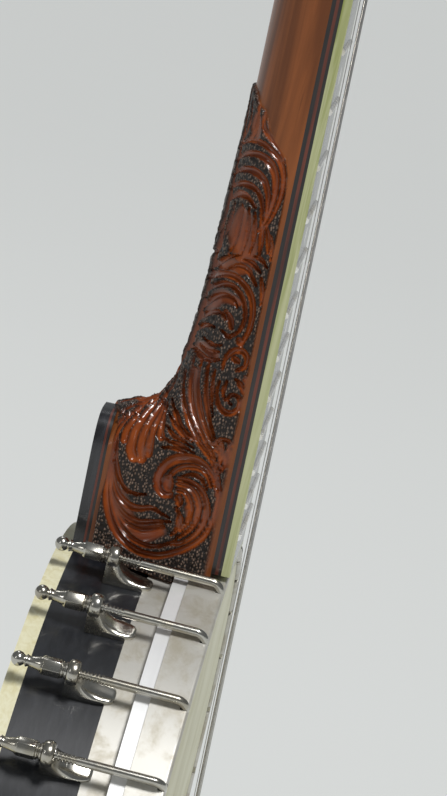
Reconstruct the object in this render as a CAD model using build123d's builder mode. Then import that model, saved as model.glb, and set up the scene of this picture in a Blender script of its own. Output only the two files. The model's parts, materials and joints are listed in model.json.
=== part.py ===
from build123d import *
from math import cos, pi, radians, sin
import os

# Open-back five-string banjo with a carved heel, standing upright, in millimetres.
# +Z runs up the neck, the head faces -Y, the drone string is on the -X side and
# the origin is the foot of the pot, on the plane of the head's face.

os.makedirs("parts", exist_ok=True)

# ---- pot: rim, tone ring, head and hoops (depths run back from the head's face) ----
rim_radius = 139.7
rim_wall = 12.7
rim_back = 60.5
binding_depth = 6.0
binding_wall = 2.4
skirt_wall = 0.6
skirt_back = 26.4
tone_ring_depth = 8.6
tone_ring_width = 9.4
tone_ring_lip = 2.4
head_film = 0.35
ring_slip = 0.1
hoop_slip = 0.8
hoop_wall = 4.2
hoop_front = -1.2
hoop_back = 11.9
flesh_wall = 4.1
flesh_depth = 5.1

# ---- tension brackets ----
bracket_count = 30
hook_rod = 1.4
hook_gap = 1.4
hook_bend = 3.4
notch_slip = 0.2
shoe_overlap = 2.9
shoe_length = 17.0
shoe_collar = 4.2
shoe_collar_depth = 4.0
shoe_half_width = 4.2
shoe_screw_from_back = 6.5
shoe_screw_radius = 1.95
shoe_screw_grip = 3.8
shoe_screw_head = 3.8
shoe_screw_head_depth = 2.0
nut_hex = 3.3
nut_hex_depth = 7.2
nut_flange = 0.9
nut_taper = 3.6
nut_ball = 2.6
nut_neck = 1.5
nut_length = 19.2

# ---- neck plan and section (stations run up the neck, depths run back) ----
neck_angle = 1.75
neck_rise = 1.5
scale_length = 685.8
fret_count = 22
last_fret = 15.2
nut_width = 5.0
nut_height = 1.9
nut_half = 16.0
end_half = 23.8
bass_half = 23.2
shoulder_length = 30.0
board_depth = 3.1
binding_width = 1.8
upper_veneer = 1.1
red_veneer = 1.1
lower_veneer = 1.4
neck_back = 27.4
neck_back_at_nut = 21.5
fret_height = 1.0
fret_width = 2.3

# ---- heel ----
heel_depth = 57.0
heel_cap = 3.6
heel_red = 0.8
heel_black = 1.0
heel_half = 14.6
heel_tip = 45.5
hoop_relief = 0.5

# ---- peghead and tuners ----
peghead_tilt = 12.0
peghead_wood = 12.0
peghead_length = 164.0
back_overlay = 1.5
back_overlay_start = 16.0
tuner_low = 44.0
tuner_high = 106.0
tuner_low_half = 19.0
tuner_high_half = 22.5
post_radius = 3.0
post_height = 18.0
running = 0.05
sleeve_radius = 4.9
housing_radius = 9.6
housing_depth = 14.0
button_length = 20.0
button_width = 13.0
button_depth = 9.0
button_stem = 2.4
button_gap = 0.8
fifth_post_radius = 2.5
fifth_post_reach = 9.0
fifth_above_fret = 15.0

# ---- dowel stick, truss rod, bridge, tailpiece and strings ----
dowel_width = 22.0
dowel_depth = 18.0
dowel_cover = 5.6
dowel_in_heel = 24.0
brace_gap = 0.6
brace_wall = 4.0
rod_channel = 6.6
rod_channel_depth = 9.5
bridge_height = 11.1
bridge_length = 76.0
bridge_foot = 5.2
bridge_cap_height = 1.6
bridge_cap_width = 2.6
string_spacing = 10.5
nut_spacing = 8.0
tail_spacing = 5.2
tail_front = 115.0
tail_plate = 1.6
tail_rise = 3.4
end_bolt_radius = 2.6
string_radii = (0.16, 0.30, 0.20, 0.17, 0.15)

# ---- values that follow from the driving ones ----
skirt_radius = rim_radius + ring_slip / 2 + skirt_wall
collar_radius = skirt_radius + ring_slip + head_film
flesh_radius = collar_radius + ring_slip + flesh_wall
flesh_back = hoop_back + flesh_depth
hoop_radius = collar_radius + hoop_slip + hoop_wall
hook_circle = hoop_radius + hook_gap + hook_rod
pot_centre = hook_circle + shoe_collar
shoe_front = skirt_back - shoe_overlap
shoe_back = shoe_front + shoe_length
shoe_screw_at = shoe_back - shoe_screw_from_back
tone_back = head_film + tone_ring_depth
standoff = hook_circle - rim_radius
fret_places = [scale_length * (1 - 2 ** (-n / 12)) for n in range(1, fret_count + 1)]
nut_place = last_fret + fret_places[-1]
fifth_fret = nut_place - fret_places[4]
veneers = upper_veneer + red_veneer + lower_veneer
wood_top = board_depth + veneers
board_start = hoop_relief
veneer_end = nut_place + nut_width - veneers * sin(radians(peghead_tilt))
cap_stack = heel_cap + heel_red + heel_black
heel_wood = heel_depth - cap_stack
dowel_at = heel_wood - dowel_cover - dowel_depth / 2
rim_inside = rim_radius - rim_wall
brace_half = rim_inside * sin(2 * pi / bracket_count) - shoe_screw_head - brace_gap
pot_axis = Axis((0, 0, pot_centre), (0, 1, 0))

neck_along = Vector(0, sin(radians(neck_angle)), cos(radians(neck_angle)))
neck_deep = Vector(0, cos(radians(neck_angle)), -sin(radians(neck_angle)))
neck_start = Vector(0, -neck_rise, pot_centre + hoop_radius)
pegs_along = Vector(0, sin(radians(neck_angle + peghead_tilt)), cos(radians(neck_angle + peghead_tilt)))
pegs_deep = Vector(0, cos(radians(neck_angle + peghead_tilt)), -sin(radians(neck_angle + peghead_tilt)))
peghead_start = neck_start + neck_along * (nut_place + nut_width) + neck_deep * board_depth
peghead_back = veneers + peghead_wood
tuner_spots = (
    (-tuner_low_half, tuner_low),
    (-tuner_high_half, tuner_high),
    (tuner_high_half, tuner_high),
    (tuner_low_half, tuner_low),
)


def save(part, name):
    """Label a finished piece and write its STEP file."""
    part.label = name
    export_step(part, "parts/" + name + ".step")


def neck_point(across, along, deep):
    """A point given across, up and into the neck."""
    return neck_start + Vector(across, 0, 0) + neck_along * along + neck_deep * deep


def neck_layer(deep):
    """Plan plane of the neck at a depth: x across, y up the neck, normal to the front."""
    return Plane(origin=neck_point(0, 0, deep), x_dir=(1, 0, 0), z_dir=-neck_deep)


def neck_section(along):
    """Cross-section plane of the neck at a station: x across, y into the neck."""
    return Plane(origin=neck_point(0, along, 0), x_dir=(1, 0, 0), z_dir=neck_along)


def neck_side(across=0.0):
    """Side plane of the neck: x into the neck, y up the neck, normal to +X."""
    return Plane(origin=neck_point(across, 0, 0), x_dir=neck_deep, z_dir=(1, 0, 0))


def pegs_layer(deep):
    """Plan plane of the peghead at a depth: x across, y up the peghead."""
    return Plane(origin=peghead_start + pegs_deep * deep, x_dir=(1, 0, 0), z_dir=-pegs_deep)


def treble_edge(along):
    """Half width of the neck on the treble side."""
    return end_half + (nut_half - end_half) * along / nut_place


def bass_edge(along):
    """Half width on the bass side, with the shoulder above the fifth fret."""
    below = end_half + (bass_half - end_half) * along / fifth_fret
    start = fifth_fret + 6.0
    blend = min(max((along - start) / shoulder_length, 0.0), 1.0)
    ease = blend * blend * (3 - 2 * blend)
    return below + (treble_edge(along) - below) * ease


def bracket_planes():
    """Planes on the hook circle: x along the circle, y back, normal outwards."""
    planes = []
    for place in range(1, bracket_count):
        if place == bracket_count // 2:
            continue
        turn = 2 * pi * place / bracket_count
        middle = (hook_circle * sin(turn), 0, pot_centre + hook_circle * cos(turn))
        planes.append(Plane(origin=middle, x_dir=(cos(turn), 0, -sin(turn)), z_dir=(sin(turn), 0, cos(turn))))
    return planes


brackets = bracket_planes()


def neck_outline(low, high, inset=0.0, steps=8):
    """Edges of the neck's plan between two stations."""
    start = fifth_fret + 6.0
    stations = [low]
    stations += [start + shoulder_length * k / steps for k in range(steps + 1)]
    stations = [s for s in stations if low <= s < high] + [high]
    bass = [(inset - bass_edge(s), s) for s in stations]
    treble = [(treble_edge(s) - inset, s) for s in (high, low)]
    with BuildLine() as outline:
        Polyline(*(bass + treble), close=True)
    return outline.edges()


def ring_profile(inner, outer, front, back):
    """Rectangle of a ring's section, for use inside a sketch on the pot's plane."""
    with Locations(((inner + outer) / 2, (front + back) / 2)):
        Rectangle(outer - inner, back - front)


# ---- rim: laminated wood ring with its screw holes and the dowel's mortise ----
with BuildPart() as rim:
    with BuildSketch(Plane.XY.offset(pot_centre)):
        with BuildLine():
            Polyline(
                (rim_radius - rim_wall, tone_back),
                (rim_radius, tone_back),
                (rim_radius, rim_back - binding_depth),
                (rim_radius - binding_wall, rim_back - binding_depth),
                (rim_radius - binding_wall, rim_back),
                (rim_radius - rim_wall, rim_back),
                close=True,
            )
        make_face()
    revolve(axis=pot_axis)
    with Locations(*brackets):
        with Locations((0, shoe_screw_at, -standoff - rim_wall / 2)):
            Cylinder(shoe_screw_radius + ring_slip, rim_wall * 1.5, mode=Mode.SUBTRACT)
    with Locations((0, dowel_at, pot_centre + rim_radius)):
        Box(dowel_width + ring_slip, dowel_depth + ring_slip, rim_wall * 3, mode=Mode.SUBTRACT)
    with Locations((0, dowel_at, pot_centre - rim_radius)):
        Cylinder(end_bolt_radius + ring_slip, rim_wall * 3, mode=Mode.SUBTRACT)
save(rim.part, "rim")

with BuildPart() as rim_binding:
    with BuildSketch(Plane.XY.offset(pot_centre)):
        ring_profile(rim_radius - binding_wall, rim_radius, rim_back - binding_depth, rim_back)
    revolve(axis=pot_axis)
save(rim_binding.part, "rim_binding")

# ---- plated skirt round the front of the rim ----
with BuildPart() as rim_skirt:
    with BuildSketch(Plane.XY.offset(pot_centre)):
        ring_profile(skirt_radius - skirt_wall, skirt_radius, tone_back, skirt_back)
    revolve(axis=pot_axis)
save(rim_skirt.part, "rim_skirt")

# ---- tone ring: cast ring with its bearing edge at the outside ----
with BuildPart() as tone_ring:
    with BuildSketch(Plane.XY.offset(pot_centre)):
        with BuildLine():
            Polyline(
                (skirt_radius, head_film),
                (skirt_radius - tone_ring_lip, head_film),
                (skirt_radius - tone_ring_width, head_film + tone_ring_lip),
                (skirt_radius - tone_ring_width, tone_back),
                (skirt_radius, tone_back),
                close=True,
            )
        make_face()
    revolve(axis=pot_axis)
save(tone_ring.part, "tone_ring")

# ---- head: film over the tone ring, and the collar that turns down to the flesh hoop ----
with BuildPart() as head:
    with BuildSketch(Plane.XZ):
        with Locations((0, pot_centre)):
            Circle(collar_radius)
    extrude(amount=-head_film)
save(head.part, "head")

with BuildPart() as head_collar:
    with BuildSketch(Plane.XY.offset(pot_centre)):
        ring_profile(collar_radius - head_film, collar_radius, head_film, hoop_back)
    revolve(axis=pot_axis)
save(head_collar.part, "head_collar")

with BuildPart() as flesh_hoop:
    with BuildSketch(Plane.XY.offset(pot_centre)):
        ring_profile(collar_radius + ring_slip, flesh_radius, hoop_back, flesh_back)
    revolve(axis=pot_axis)
save(flesh_hoop.part, "flesh_hoop")

# ---- tension hoop: rounded front edge, a notch for each hook and one for the neck ----
with BuildPart() as tension_hoop:
    with BuildSketch(Plane.XY.offset(pot_centre)) as hoop_profile:
        ring_profile(hoop_radius - hoop_wall, hoop_radius, hoop_front, hoop_back)
        fillet(hoop_profile.vertices().group_by(Axis.Y)[0], radius=1.2)
    revolve(axis=pot_axis)
    with Locations(*brackets):
        with Locations((0, hoop_front, -hook_gap - hook_rod - hoop_wall / 2)):
            Box(
                2 * (hook_rod + notch_slip),
                2 * (2 * hook_rod + notch_slip),
                hoop_wall * 2,
                mode=Mode.SUBTRACT,
            )
save(tension_hoop.part, "tension_hoop")

# ---- hooks: rod along the pot, bent over the hoop into its notch ----
hook_front = hoop_front + hook_rod
hook_end = shoe_back + nut_length * 0.5
hook_inward = hook_gap + hook_rod + hoop_wall - 0.4
with BuildPart() as hook:
    with BuildLine(Plane.YZ) as hook_line:
        FilletPolyline(
            (hook_end, 0),
            (hook_front, 0),
            (hook_front, -hook_inward),
            radius=hook_bend,
        )
    with BuildSketch(Plane.XZ.offset(-hook_end)):
        Circle(hook_rod)
    sweep()
with BuildPart() as bracket_hooks:
    with Locations(*brackets):
        add(hook.part)
save(bracket_hooks.part, "bracket_hooks")

# ---- shoes: collar round the hook, swept down to a pointed foot on the rim ----
foot_face = skirt_radius - hook_circle
with BuildPart() as shoe:
    with BuildSketch(Plane.YZ):
        with BuildLine():
            Polyline(
                (shoe_back - shoe_collar_depth, 1.0),
                (shoe_back, 1.0),
                (shoe_back, -standoff),
                (skirt_back + ring_slip, -standoff),
                (skirt_back + ring_slip, foot_face),
                (shoe_front, foot_face),
                (shoe_front, foot_face + 1.1),
            )
            Spline(
                (shoe_front, foot_face + 1.1),
                (shoe_front + 7.0, -standoff / 2),
                (shoe_back - shoe_collar_depth, 1.0),
                tangents=[(1, 0.1), (0.15, 1)],
            )
        make_face()
    extrude(amount=shoe_half_width, both=True)
    with BuildSketch(Plane.XY):
        with BuildLine():
            Polyline(
                (0.9, shoe_front),
                (-0.9, shoe_front),
            )
            Spline(
                (-0.9, shoe_front),
                (-shoe_half_width, shoe_front + 10.0),
                tangents=[(-0.5, 1), (0, 1)],
            )
            Polyline(
                (-shoe_half_width, shoe_front + 10.0),
                (-shoe_half_width, shoe_back),
                (shoe_half_width, shoe_back),
                (shoe_half_width, shoe_front + 10.0),
            )
            Spline(
                (shoe_half_width, shoe_front + 10.0),
                (0.9, shoe_front),
                tangents=[(0, -1), (-0.5, -1)],
            )
        make_face()
    extrude(amount=standoff * 2, both=True, mode=Mode.INTERSECT)
    with BuildSketch(Plane.XZ.offset(-shoe_back)):
        Circle(shoe_collar)
    extrude(amount=shoe_collar_depth)
    with BuildSketch(Plane.XZ.offset(-shoe_back)):
        Circle(hook_rod + ring_slip)
    extrude(amount=shoe_back - shoe_front, mode=Mode.SUBTRACT)
    with Locations((0, shoe_screw_at, -standoff)):
        Cylinder(shoe_screw_radius, 2 * shoe_screw_grip, mode=Mode.SUBTRACT)
with BuildPart() as bracket_shoes:
    with Locations(*brackets):
        add(shoe.part)
save(bracket_shoes.part, "bracket_shoes")

with BuildPart() as shoe_screws:
    with Locations(*brackets):
        with Locations((0, shoe_screw_at, shoe_screw_grip - standoff)):
            Cylinder(
                shoe_screw_radius,
                rim_wall + shoe_screw_grip,
                align=(Align.CENTER, Align.CENTER, Align.MAX),
            )
        with Locations((0, shoe_screw_at, -standoff - rim_wall - ring_slip)):
            Cylinder(
                shoe_screw_head,
                shoe_screw_head_depth,
                align=(Align.CENTER, Align.CENTER, Align.MAX),
            )
save(shoe_screws.part, "shoe_screws")

# ---- bracket nuts: flange, hexagon, taper, neck and ball ----
ball_at = shoe_back + nut_length - nut_ball
hex_back = shoe_back + nut_flange + nut_hex_depth
with BuildPart() as bracket_nut:
    with BuildSketch(Plane.XZ.offset(-shoe_back)):
        Circle(nut_hex + 0.5)
    extrude(amount=-nut_flange)
    with BuildSketch(Plane.XZ.offset(-shoe_back - nut_flange)):
        RegularPolygon(nut_hex, 6)
    extrude(amount=-nut_hex_depth)
    with BuildSketch(Plane.XY):
        with BuildLine():
            Polyline(
                (0, hex_back - 0.5),
                (nut_hex * 0.86, hex_back - 0.5),
                (nut_hex * 0.86, hex_back + 0.2),
                (nut_neck, hex_back + nut_taper),
                (nut_neck, ball_at),
                (0, ball_at),
                close=True,
            )
        make_face()
    revolve(axis=Axis.Y)
    with Locations((0, ball_at, 0)):
        Sphere(nut_ball)
    with BuildSketch(Plane.XZ.offset(-shoe_back)):
        Circle(hook_rod)
    extrude(amount=-(hook_end - shoe_back), mode=Mode.SUBTRACT)
with BuildPart() as bracket_nuts:
    with Locations(*brackets):
        add(bracket_nut.part)
save(bracket_nuts.part, "bracket_nuts")

# ---- dowel stick from the heel to the tail, its brace and its end bolt ----
dowel_top = pot_centre + rim_radius + dowel_in_heel
dowel_foot = pot_centre - rim_inside + 0.6
end_bolt_top = dowel_foot + 34.0
strap_wall = 1.5
strap_inside = hook_circle - hook_rod
end_bolt_head = 3.0
with BuildPart() as dowel_stick:
    with BuildSketch(Plane.XY.offset(dowel_foot)):
        with Locations((0, dowel_at)):
            RectangleRounded(dowel_width * 0.84, dowel_depth * 0.9, 2.0)
    with BuildSketch(Plane.XY.offset(pot_centre + rim_inside - 14.0)):
        with Locations((0, dowel_at)):
            RectangleRounded(dowel_width, dowel_depth, 2.0)
    loft()
    with BuildSketch(Plane.XY.offset(pot_centre + rim_inside - 14.0)):
        with Locations((0, dowel_at)):
            RectangleRounded(dowel_width, dowel_depth, 2.0)
    extrude(amount=dowel_top - pot_centre - rim_inside + 14.0)
    with Locations((0, dowel_at, dowel_foot)):
        Cylinder(
            end_bolt_radius,
            end_bolt_top - dowel_foot,
            align=(Align.CENTER, Align.CENTER, Align.MIN),
            mode=Mode.SUBTRACT,
        )
save(dowel_stick.part, "dowel_stick")

with BuildPart() as neck_brace:
    with BuildSketch(Plane.XY.offset(pot_centre + rim_inside - 12.0)):
        with Locations((0, dowel_at)):
            RectangleRounded(2 * brace_half, dowel_depth + 2 * brace_wall, 3.0)
            Rectangle(dowel_width + ring_slip, dowel_depth + ring_slip, mode=Mode.SUBTRACT)
    extrude(amount=14.0)
    with BuildSketch(Plane.XZ):
        with Locations((0, pot_centre)):
            Circle(rim_inside - ring_slip)
    extrude(amount=-2 * rim_back, mode=Mode.INTERSECT)
save(neck_brace.part, "neck_brace")

with BuildPart() as brace_screws:
    for side in (-1, 1):
        with Locations((side * (dowel_width / 4 + brace_half / 2), dowel_at, pot_centre + rim_inside - 12.0)):
            Cylinder(3.4, 3.0, align=(Align.CENTER, Align.CENTER, Align.MAX))
save(brace_screws.part, "brace_screws")

with BuildPart() as tail_spacer:
    with BuildSketch(Plane.XY.offset(pot_centre - strap_inside)):
        with Locations((0, dowel_at)):
            Circle(6.5)
            Circle(end_bolt_radius + ring_slip, mode=Mode.SUBTRACT)
    extrude(amount=strap_inside - rim_radius)
save(tail_spacer.part, "tail_spacer")

with BuildPart() as end_bolt:
    with Locations((0, dowel_at, pot_centre - strap_inside - strap_wall)):
        Cylinder(
            end_bolt_radius,
            end_bolt_top - pot_centre + strap_inside + strap_wall,
            align=(Align.CENTER, Align.CENTER, Align.MIN),
        )
        Cylinder(5.2, end_bolt_head, align=(Align.CENTER, Align.CENTER, Align.MAX))
    chamfer(end_bolt.edges().group_by(Axis.Z)[0], length=0.8)
save(end_bolt.part, "end_bolt")

# ---- tailpiece: sloping plate with string pins, and the strap that holds it ----
tail_plane = Plane.XZ.offset(tail_rise)
with BuildPart() as tailpiece:
    with BuildSketch(tail_plane):
        with BuildLine():
            Polyline(
                (-15.0, pot_centre - tail_front),
                (-9.0, pot_centre - strap_inside),
                (9.0, pot_centre - strap_inside),
                (15.0, pot_centre - tail_front),
                close=True,
            )
        make_face()
    extrude(amount=tail_plate)
    fillet(tailpiece.edges().filter_by(Axis.Y).group_by(Axis.Z)[-1], radius=2.5)
    for string in range(-2, 3):
        with Locations((string * tail_spacing, -tail_rise - tail_plate, pot_centre - tail_front - 4.0)):
            Cylinder(1.0, 2.6, rotation=(90, 0, 0), align=(Align.CENTER, Align.CENTER, Align.MIN))
save(tailpiece.part, "tailpiece")

with BuildPart() as tailpiece_strap:
    with BuildSketch(Plane.XY.offset(pot_centre - strap_inside)):
        with Locations((0, (dowel_at + 7.0 - tail_rise - tail_plate) / 2)):
            RectangleRounded(14.0, dowel_at + 7.0 + tail_rise + tail_plate, 2.5)
        with Locations((0, dowel_at)):
            Circle(end_bolt_radius + ring_slip, mode=Mode.SUBTRACT)
    extrude(amount=-strap_wall)
save(tailpiece_strap.part, "tailpiece_strap")

# ---- bridge: three-footed maple body with an ebony cap ----
string_low = neck_point(0, nut_place - scale_length, 0).Z
with BuildPart() as bridge:
    body_height = bridge_height - bridge_cap_height
    with BuildSketch(Plane.XY.offset(string_low - bridge_foot / 2)):
        with BuildLine():
            Polyline(
                (-bridge_length / 2, 0),
                (-bridge_length / 2 + 2.0, -body_height + 2.0),
                (-bridge_length / 2 + 8.0, -body_height),
                (bridge_length / 2 - 8.0, -body_height),
                (bridge_length / 2 - 2.0, -body_height + 2.0),
                (bridge_length / 2, 0),
                close=True,
            )
        make_face()
        with Locations((-bridge_length / 4, 0), (bridge_length / 4, 0)):
            SlotOverall(bridge_length / 2 - 9.0, body_height, mode=Mode.SUBTRACT)
    extrude(amount=bridge_foot)
    with BuildSketch(Plane.YZ):
        with BuildLine():
            Polyline(
                (0.5, string_low - bridge_foot / 2),
                (0.5, string_low + bridge_foot / 2),
                (-body_height, string_low + bridge_cap_width / 2),
                (-body_height, string_low - bridge_cap_width / 2),
                close=True,
            )
        make_face()
    extrude(amount=bridge_length, both=True, mode=Mode.INTERSECT)
save(bridge.part, "bridge")

with BuildPart() as bridge_cap:
    with Locations((0, -bridge_height + bridge_cap_height / 2, string_low)):
        Box(bridge_length - 16.0, bridge_cap_height, bridge_cap_width)
    chamfer(bridge_cap.edges().filter_by(Axis.X).group_by(Axis.Y)[0], length=0.5)
save(bridge_cap.part, "bridge_cap")


# ---- neck wood: lofted shaft, heel block and peghead core ----
def back_depth(along):
    """Depth of the neck's back below the fingerboard's face."""
    return neck_back + (neck_back_at_nut - neck_back) * max(along - 60.0, 0.0) / (nut_place - 60.0)


def shaft_section(along):
    """Edges of the shaft's half-round section at a station."""
    bass = bass_edge(along)
    treble = treble_edge(along)
    rise = back_depth(along) - wood_top
    with BuildLine() as section:
        Line((-bass, wood_top), (treble, wood_top))
        Spline(
            (treble, wood_top),
            (0.74 * treble, wood_top + 0.76 * rise),
            ((treble - bass) / 2, wood_top + rise),
            (-0.74 * bass, wood_top + 0.76 * rise),
            (-bass, wood_top),
            tangents=[(0, 1), (0, -1)],
        )
    return section.edges()


def heel_outline(half, tip, foot):
    """Edges of the heel's tongue-shaped plan at one depth."""
    with BuildLine() as tongue:
        Polyline((-half, tip - half), (-half, foot), (half, foot), (half, tip - half))
        Spline((half, tip - half), (0, tip), (-half, tip - half), tangents=[(0, 1), (0, -1)])
    return tongue.edges()


heel_foot = -12.0
heel_levels = [
    (20.0, end_half - 3.0, heel_tip + 37.5),
    (30.0, heel_half + 5.4, heel_tip + 23.5),
    (36.6, heel_half + 3.6, heel_tip + 11.0),
    (46.8, heel_half + 1.2, heel_tip + 3.3),
    (heel_wood, heel_half + 0.4, heel_tip + 1.0),
]
shaft_stations = [heel_foot, 70.0, 190.0, fifth_fret]
shaft_stations += [fifth_fret + 6.0 + shoulder_length * k / 6 for k in range(7)]
shaft_stations += [veneer_end]
with BuildPart() as neck:
    for station in shaft_stations:
        with BuildSketch(neck_section(station)):
            make_face(shaft_section(station))
    loft(ruled=True)
    for deep, half, tip in heel_levels:
        with BuildSketch(neck_layer(deep)):
            make_face(heel_outline(half, tip, heel_foot))
    loft(ruled=True)
    with BuildSketch(pegs_layer(veneers)) as peghead_core:
        with BuildLine() as peghead_line:
            Spline((0, peghead_length - 2.0), (9.0, peghead_length - 5.0), (19.0, peghead_length))
            Spline((19.0, peghead_length), (33.0, peghead_length - 8.0), (36.0, peghead_length - 22.0))
            Spline(
                (36.0, peghead_length - 22.0),
                (31.0, 108.0),
                (27.5, 74.0),
                (29.0, 40.0),
                (24.0, 14.0),
                (nut_half, 0),
            )
            Line((nut_half, 0), (0, 0))
            mirror(about=Plane.YZ)
        make_face()
    extrude(amount=-peghead_wood)
    with Locations(pegs_layer(veneers)):
        with Locations(*tuner_spots):
            Cylinder(sleeve_radius, 3 * peghead_wood, mode=Mode.SUBTRACT)
    with BuildSketch(neck_side()):
        with Locations((wood_top / 2 - 20.0, nut_place / 2)):
            Rectangle(wood_top + 40.0, nut_place + 2 * nut_width + 80.0)
        with Locations((0, nut_place + nut_width)):
            Rectangle(400.0, 400.0, align=(Align.CENTER, Align.MIN), mode=Mode.SUBTRACT)
    extrude(amount=100.0, both=True, mode=Mode.SUBTRACT)
    with BuildSketch(Plane.XZ):
        with Locations((0, pot_centre)):
            Circle(hoop_radius + hoop_relief)
    extrude(amount=-(flesh_back + 0.4), mode=Mode.SUBTRACT)
    with BuildSketch(Plane.XZ.offset(-flesh_back)):
        with Locations((0, pot_centre)):
            Circle(skirt_radius + ring_slip)
    extrude(amount=-100.0, mode=Mode.SUBTRACT)
    with Locations((0, dowel_at, pot_centre + rim_radius)):
        Box(
            dowel_width,
            dowel_depth,
            dowel_in_heel,
            align=(Align.CENTER, Align.CENTER, Align.MIN),
            mode=Mode.SUBTRACT,
        )
    with BuildSketch(neck_layer(wood_top)):
        with Locations((0, 14.0)):
            Rectangle(rod_channel, nut_place + nut_width - 20.0, align=(Align.CENTER, Align.MIN))
    extrude(amount=-rod_channel_depth, mode=Mode.SUBTRACT)
    with Locations(Plane(neck_point(0, fifth_fret + fifth_above_fret, 12.0), x_dir=(0, 1, 0), z_dir=(-1, 0, 0))):
        Cylinder(4.0, 60.0, align=(Align.CENTER, Align.CENTER, Align.MIN), mode=Mode.SUBTRACT)
save(neck.part, "neck")

# ---- heel cap and its two veneers ----
cap_layers = (
    ("heel_black_veneer", heel_wood, heel_black),
    ("heel_red_veneer", heel_wood + heel_black, heel_red),
    ("heel_cap", heel_depth - heel_cap, heel_cap),
)
for name, deep, thick in cap_layers:
    with BuildPart() as cap_layer:
        with BuildSketch(neck_layer(deep)):
            make_face(heel_outline(heel_half, heel_tip, heel_foot))
        extrude(amount=-thick)
        with BuildSketch(Plane.XZ):
            with Locations((0, pot_centre)):
                Circle(skirt_radius + ring_slip)
        extrude(amount=-100.0, mode=Mode.SUBTRACT)
    save(cap_layer.part, name)

# ---- truss rod in its channel ----
with BuildPart() as truss_rod:
    with BuildSketch(neck_layer(wood_top + 0.4)):
        with Locations((0, 16.0)):
            Rectangle(rod_channel - 0.4, nut_place - 30.0, align=(Align.CENTER, Align.MIN))
    extrude(amount=-(rod_channel_depth - 0.8))
save(truss_rod.part, "truss_rod")

# ---- three veneers under the fingerboard ----
board_layers = (
    ("upper_black_veneer", board_depth, upper_veneer),
    ("red_veneer", board_depth + upper_veneer, red_veneer),
    ("lower_black_veneer", board_depth + upper_veneer + red_veneer, lower_veneer),
)
for name, deep, thick in board_layers:
    with BuildPart() as board_layer:
        with BuildSketch(neck_layer(deep)):
            make_face(neck_outline(board_start, veneer_end))
        extrude(amount=-thick)
    save(board_layer.part, name)

# ---- fingerboard, its binding and the position dots ----
dot_frets = (5, 7, 10, 12, 15, 17, 19)
dot_depth = 0.8
dot_radius = 3.0


def dot_station(fret):
    """Station halfway between a fret and the one before it."""
    return nut_place - (fret_places[fret - 1] + fret_places[fret - 2]) / 2


with BuildPart() as fingerboard:
    with BuildSketch(neck_layer(0)):
        make_face(neck_outline(board_start + binding_width, nut_place, binding_width))
    extrude(amount=-board_depth)
    with BuildSketch(neck_layer(0)):
        with Locations(*[(0, dot_station(fret)) for fret in dot_frets]):
            Circle(dot_radius)
    extrude(amount=-dot_depth, mode=Mode.SUBTRACT)
save(fingerboard.part, "fingerboard")

with BuildPart() as fingerboard_binding:
    with BuildSketch(neck_layer(0)):
        make_face(neck_outline(board_start, nut_place))
    extrude(amount=-board_depth)
    with BuildSketch(neck_layer(0)):
        make_face(neck_outline(board_start + binding_width, nut_place + 1.0, binding_width))
    extrude(amount=-board_depth, mode=Mode.SUBTRACT)
save(fingerboard_binding.part, "fingerboard_binding")

with BuildPart() as position_dots:
    with BuildSketch(neck_layer(0)):
        with Locations(*[(0, dot_station(fret)) for fret in dot_frets]):
            Circle(dot_radius)
    extrude(amount=-dot_depth)
save(position_dots.part, "position_dots")

# ---- frets: crowned wire across the board ----
with BuildPart() as frets:
    for distance in fret_places:
        station = nut_place - distance
        with BuildSketch(neck_side(0.2 - bass_edge(station))):
            with BuildLine():
                Line((0, station - fret_width / 2), (0, station + fret_width / 2))
                ThreePointArc(
                    (0, station + fret_width / 2),
                    (-fret_height, station),
                    (0, station - fret_width / 2),
                )
            make_face()
        extrude(amount=bass_edge(station) + treble_edge(station) - 0.4)
save(frets.part, "frets")

# ---- nut and the drone string's small nut ----
with BuildPart() as nut:
    with BuildSketch(neck_side(-nut_half)):
        with BuildLine():
            Polyline(
                (board_depth, nut_place),
                (board_depth, nut_place + nut_width),
                (-nut_height + 1.5, nut_place + nut_width),
                (-nut_height, nut_place + 0.3),
                (-nut_height, nut_place),
                close=True,
            )
        make_face()
    extrude(amount=2 * nut_half)
save(nut.part, "nut")

fifth_nut_at = fifth_fret + 3.0
fifth_nut_across = -(bass_half - 2.6)
fifth_nut_height = 1.3
with BuildPart() as fifth_nut:
    with BuildSketch(neck_layer(0)):
        with Locations((fifth_nut_across, fifth_nut_at)):
            Circle(1.5)
    extrude(amount=fifth_nut_height)
save(fifth_nut.part, "fifth_nut")

# ---- peghead overlays and a plain lozenge inlay ----
def peghead_plate(deep, thick, start=0.0):
    """Plate with the peghead's outline and holes, as the current part."""
    with BuildSketch(pegs_layer(deep)) as plate:
        add(peghead_core.sketch_local)
        with Locations((0, start)):
            Rectangle(2 * peghead_length, peghead_length, align=(Align.CENTER, Align.MAX), mode=Mode.SUBTRACT)
        with Locations(*tuner_spots):
            Circle(sleeve_radius, mode=Mode.SUBTRACT)
    extrude(plate.sketch, amount=-thick)


inlay_depth = 0.8
inlay_at = (tuner_low + tuner_high) / 2
with BuildPart() as peghead_overlay:
    peghead_plate(0, veneers)
    with BuildSketch(pegs_layer(0)):
        with Locations((0, inlay_at)):
            Polygon((0, 20.0), (9.0, 0), (0, -20.0), (-9.0, 0), align=None)
    extrude(amount=-inlay_depth, mode=Mode.SUBTRACT)
save(peghead_overlay.part, "peghead_overlay")

with BuildPart() as peghead_inlay:
    with BuildSketch(pegs_layer(0)):
        with Locations((0, inlay_at)):
            Polygon((0, 20.0), (9.0, 0), (0, -20.0), (-9.0, 0), align=None)
    extrude(amount=-inlay_depth)
save(peghead_inlay.part, "peghead_inlay")

with BuildPart() as peghead_back_plate:
    peghead_plate(peghead_back, back_overlay, back_overlay_start)
save(peghead_back_plate.part, "peghead_back_plate")

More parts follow.
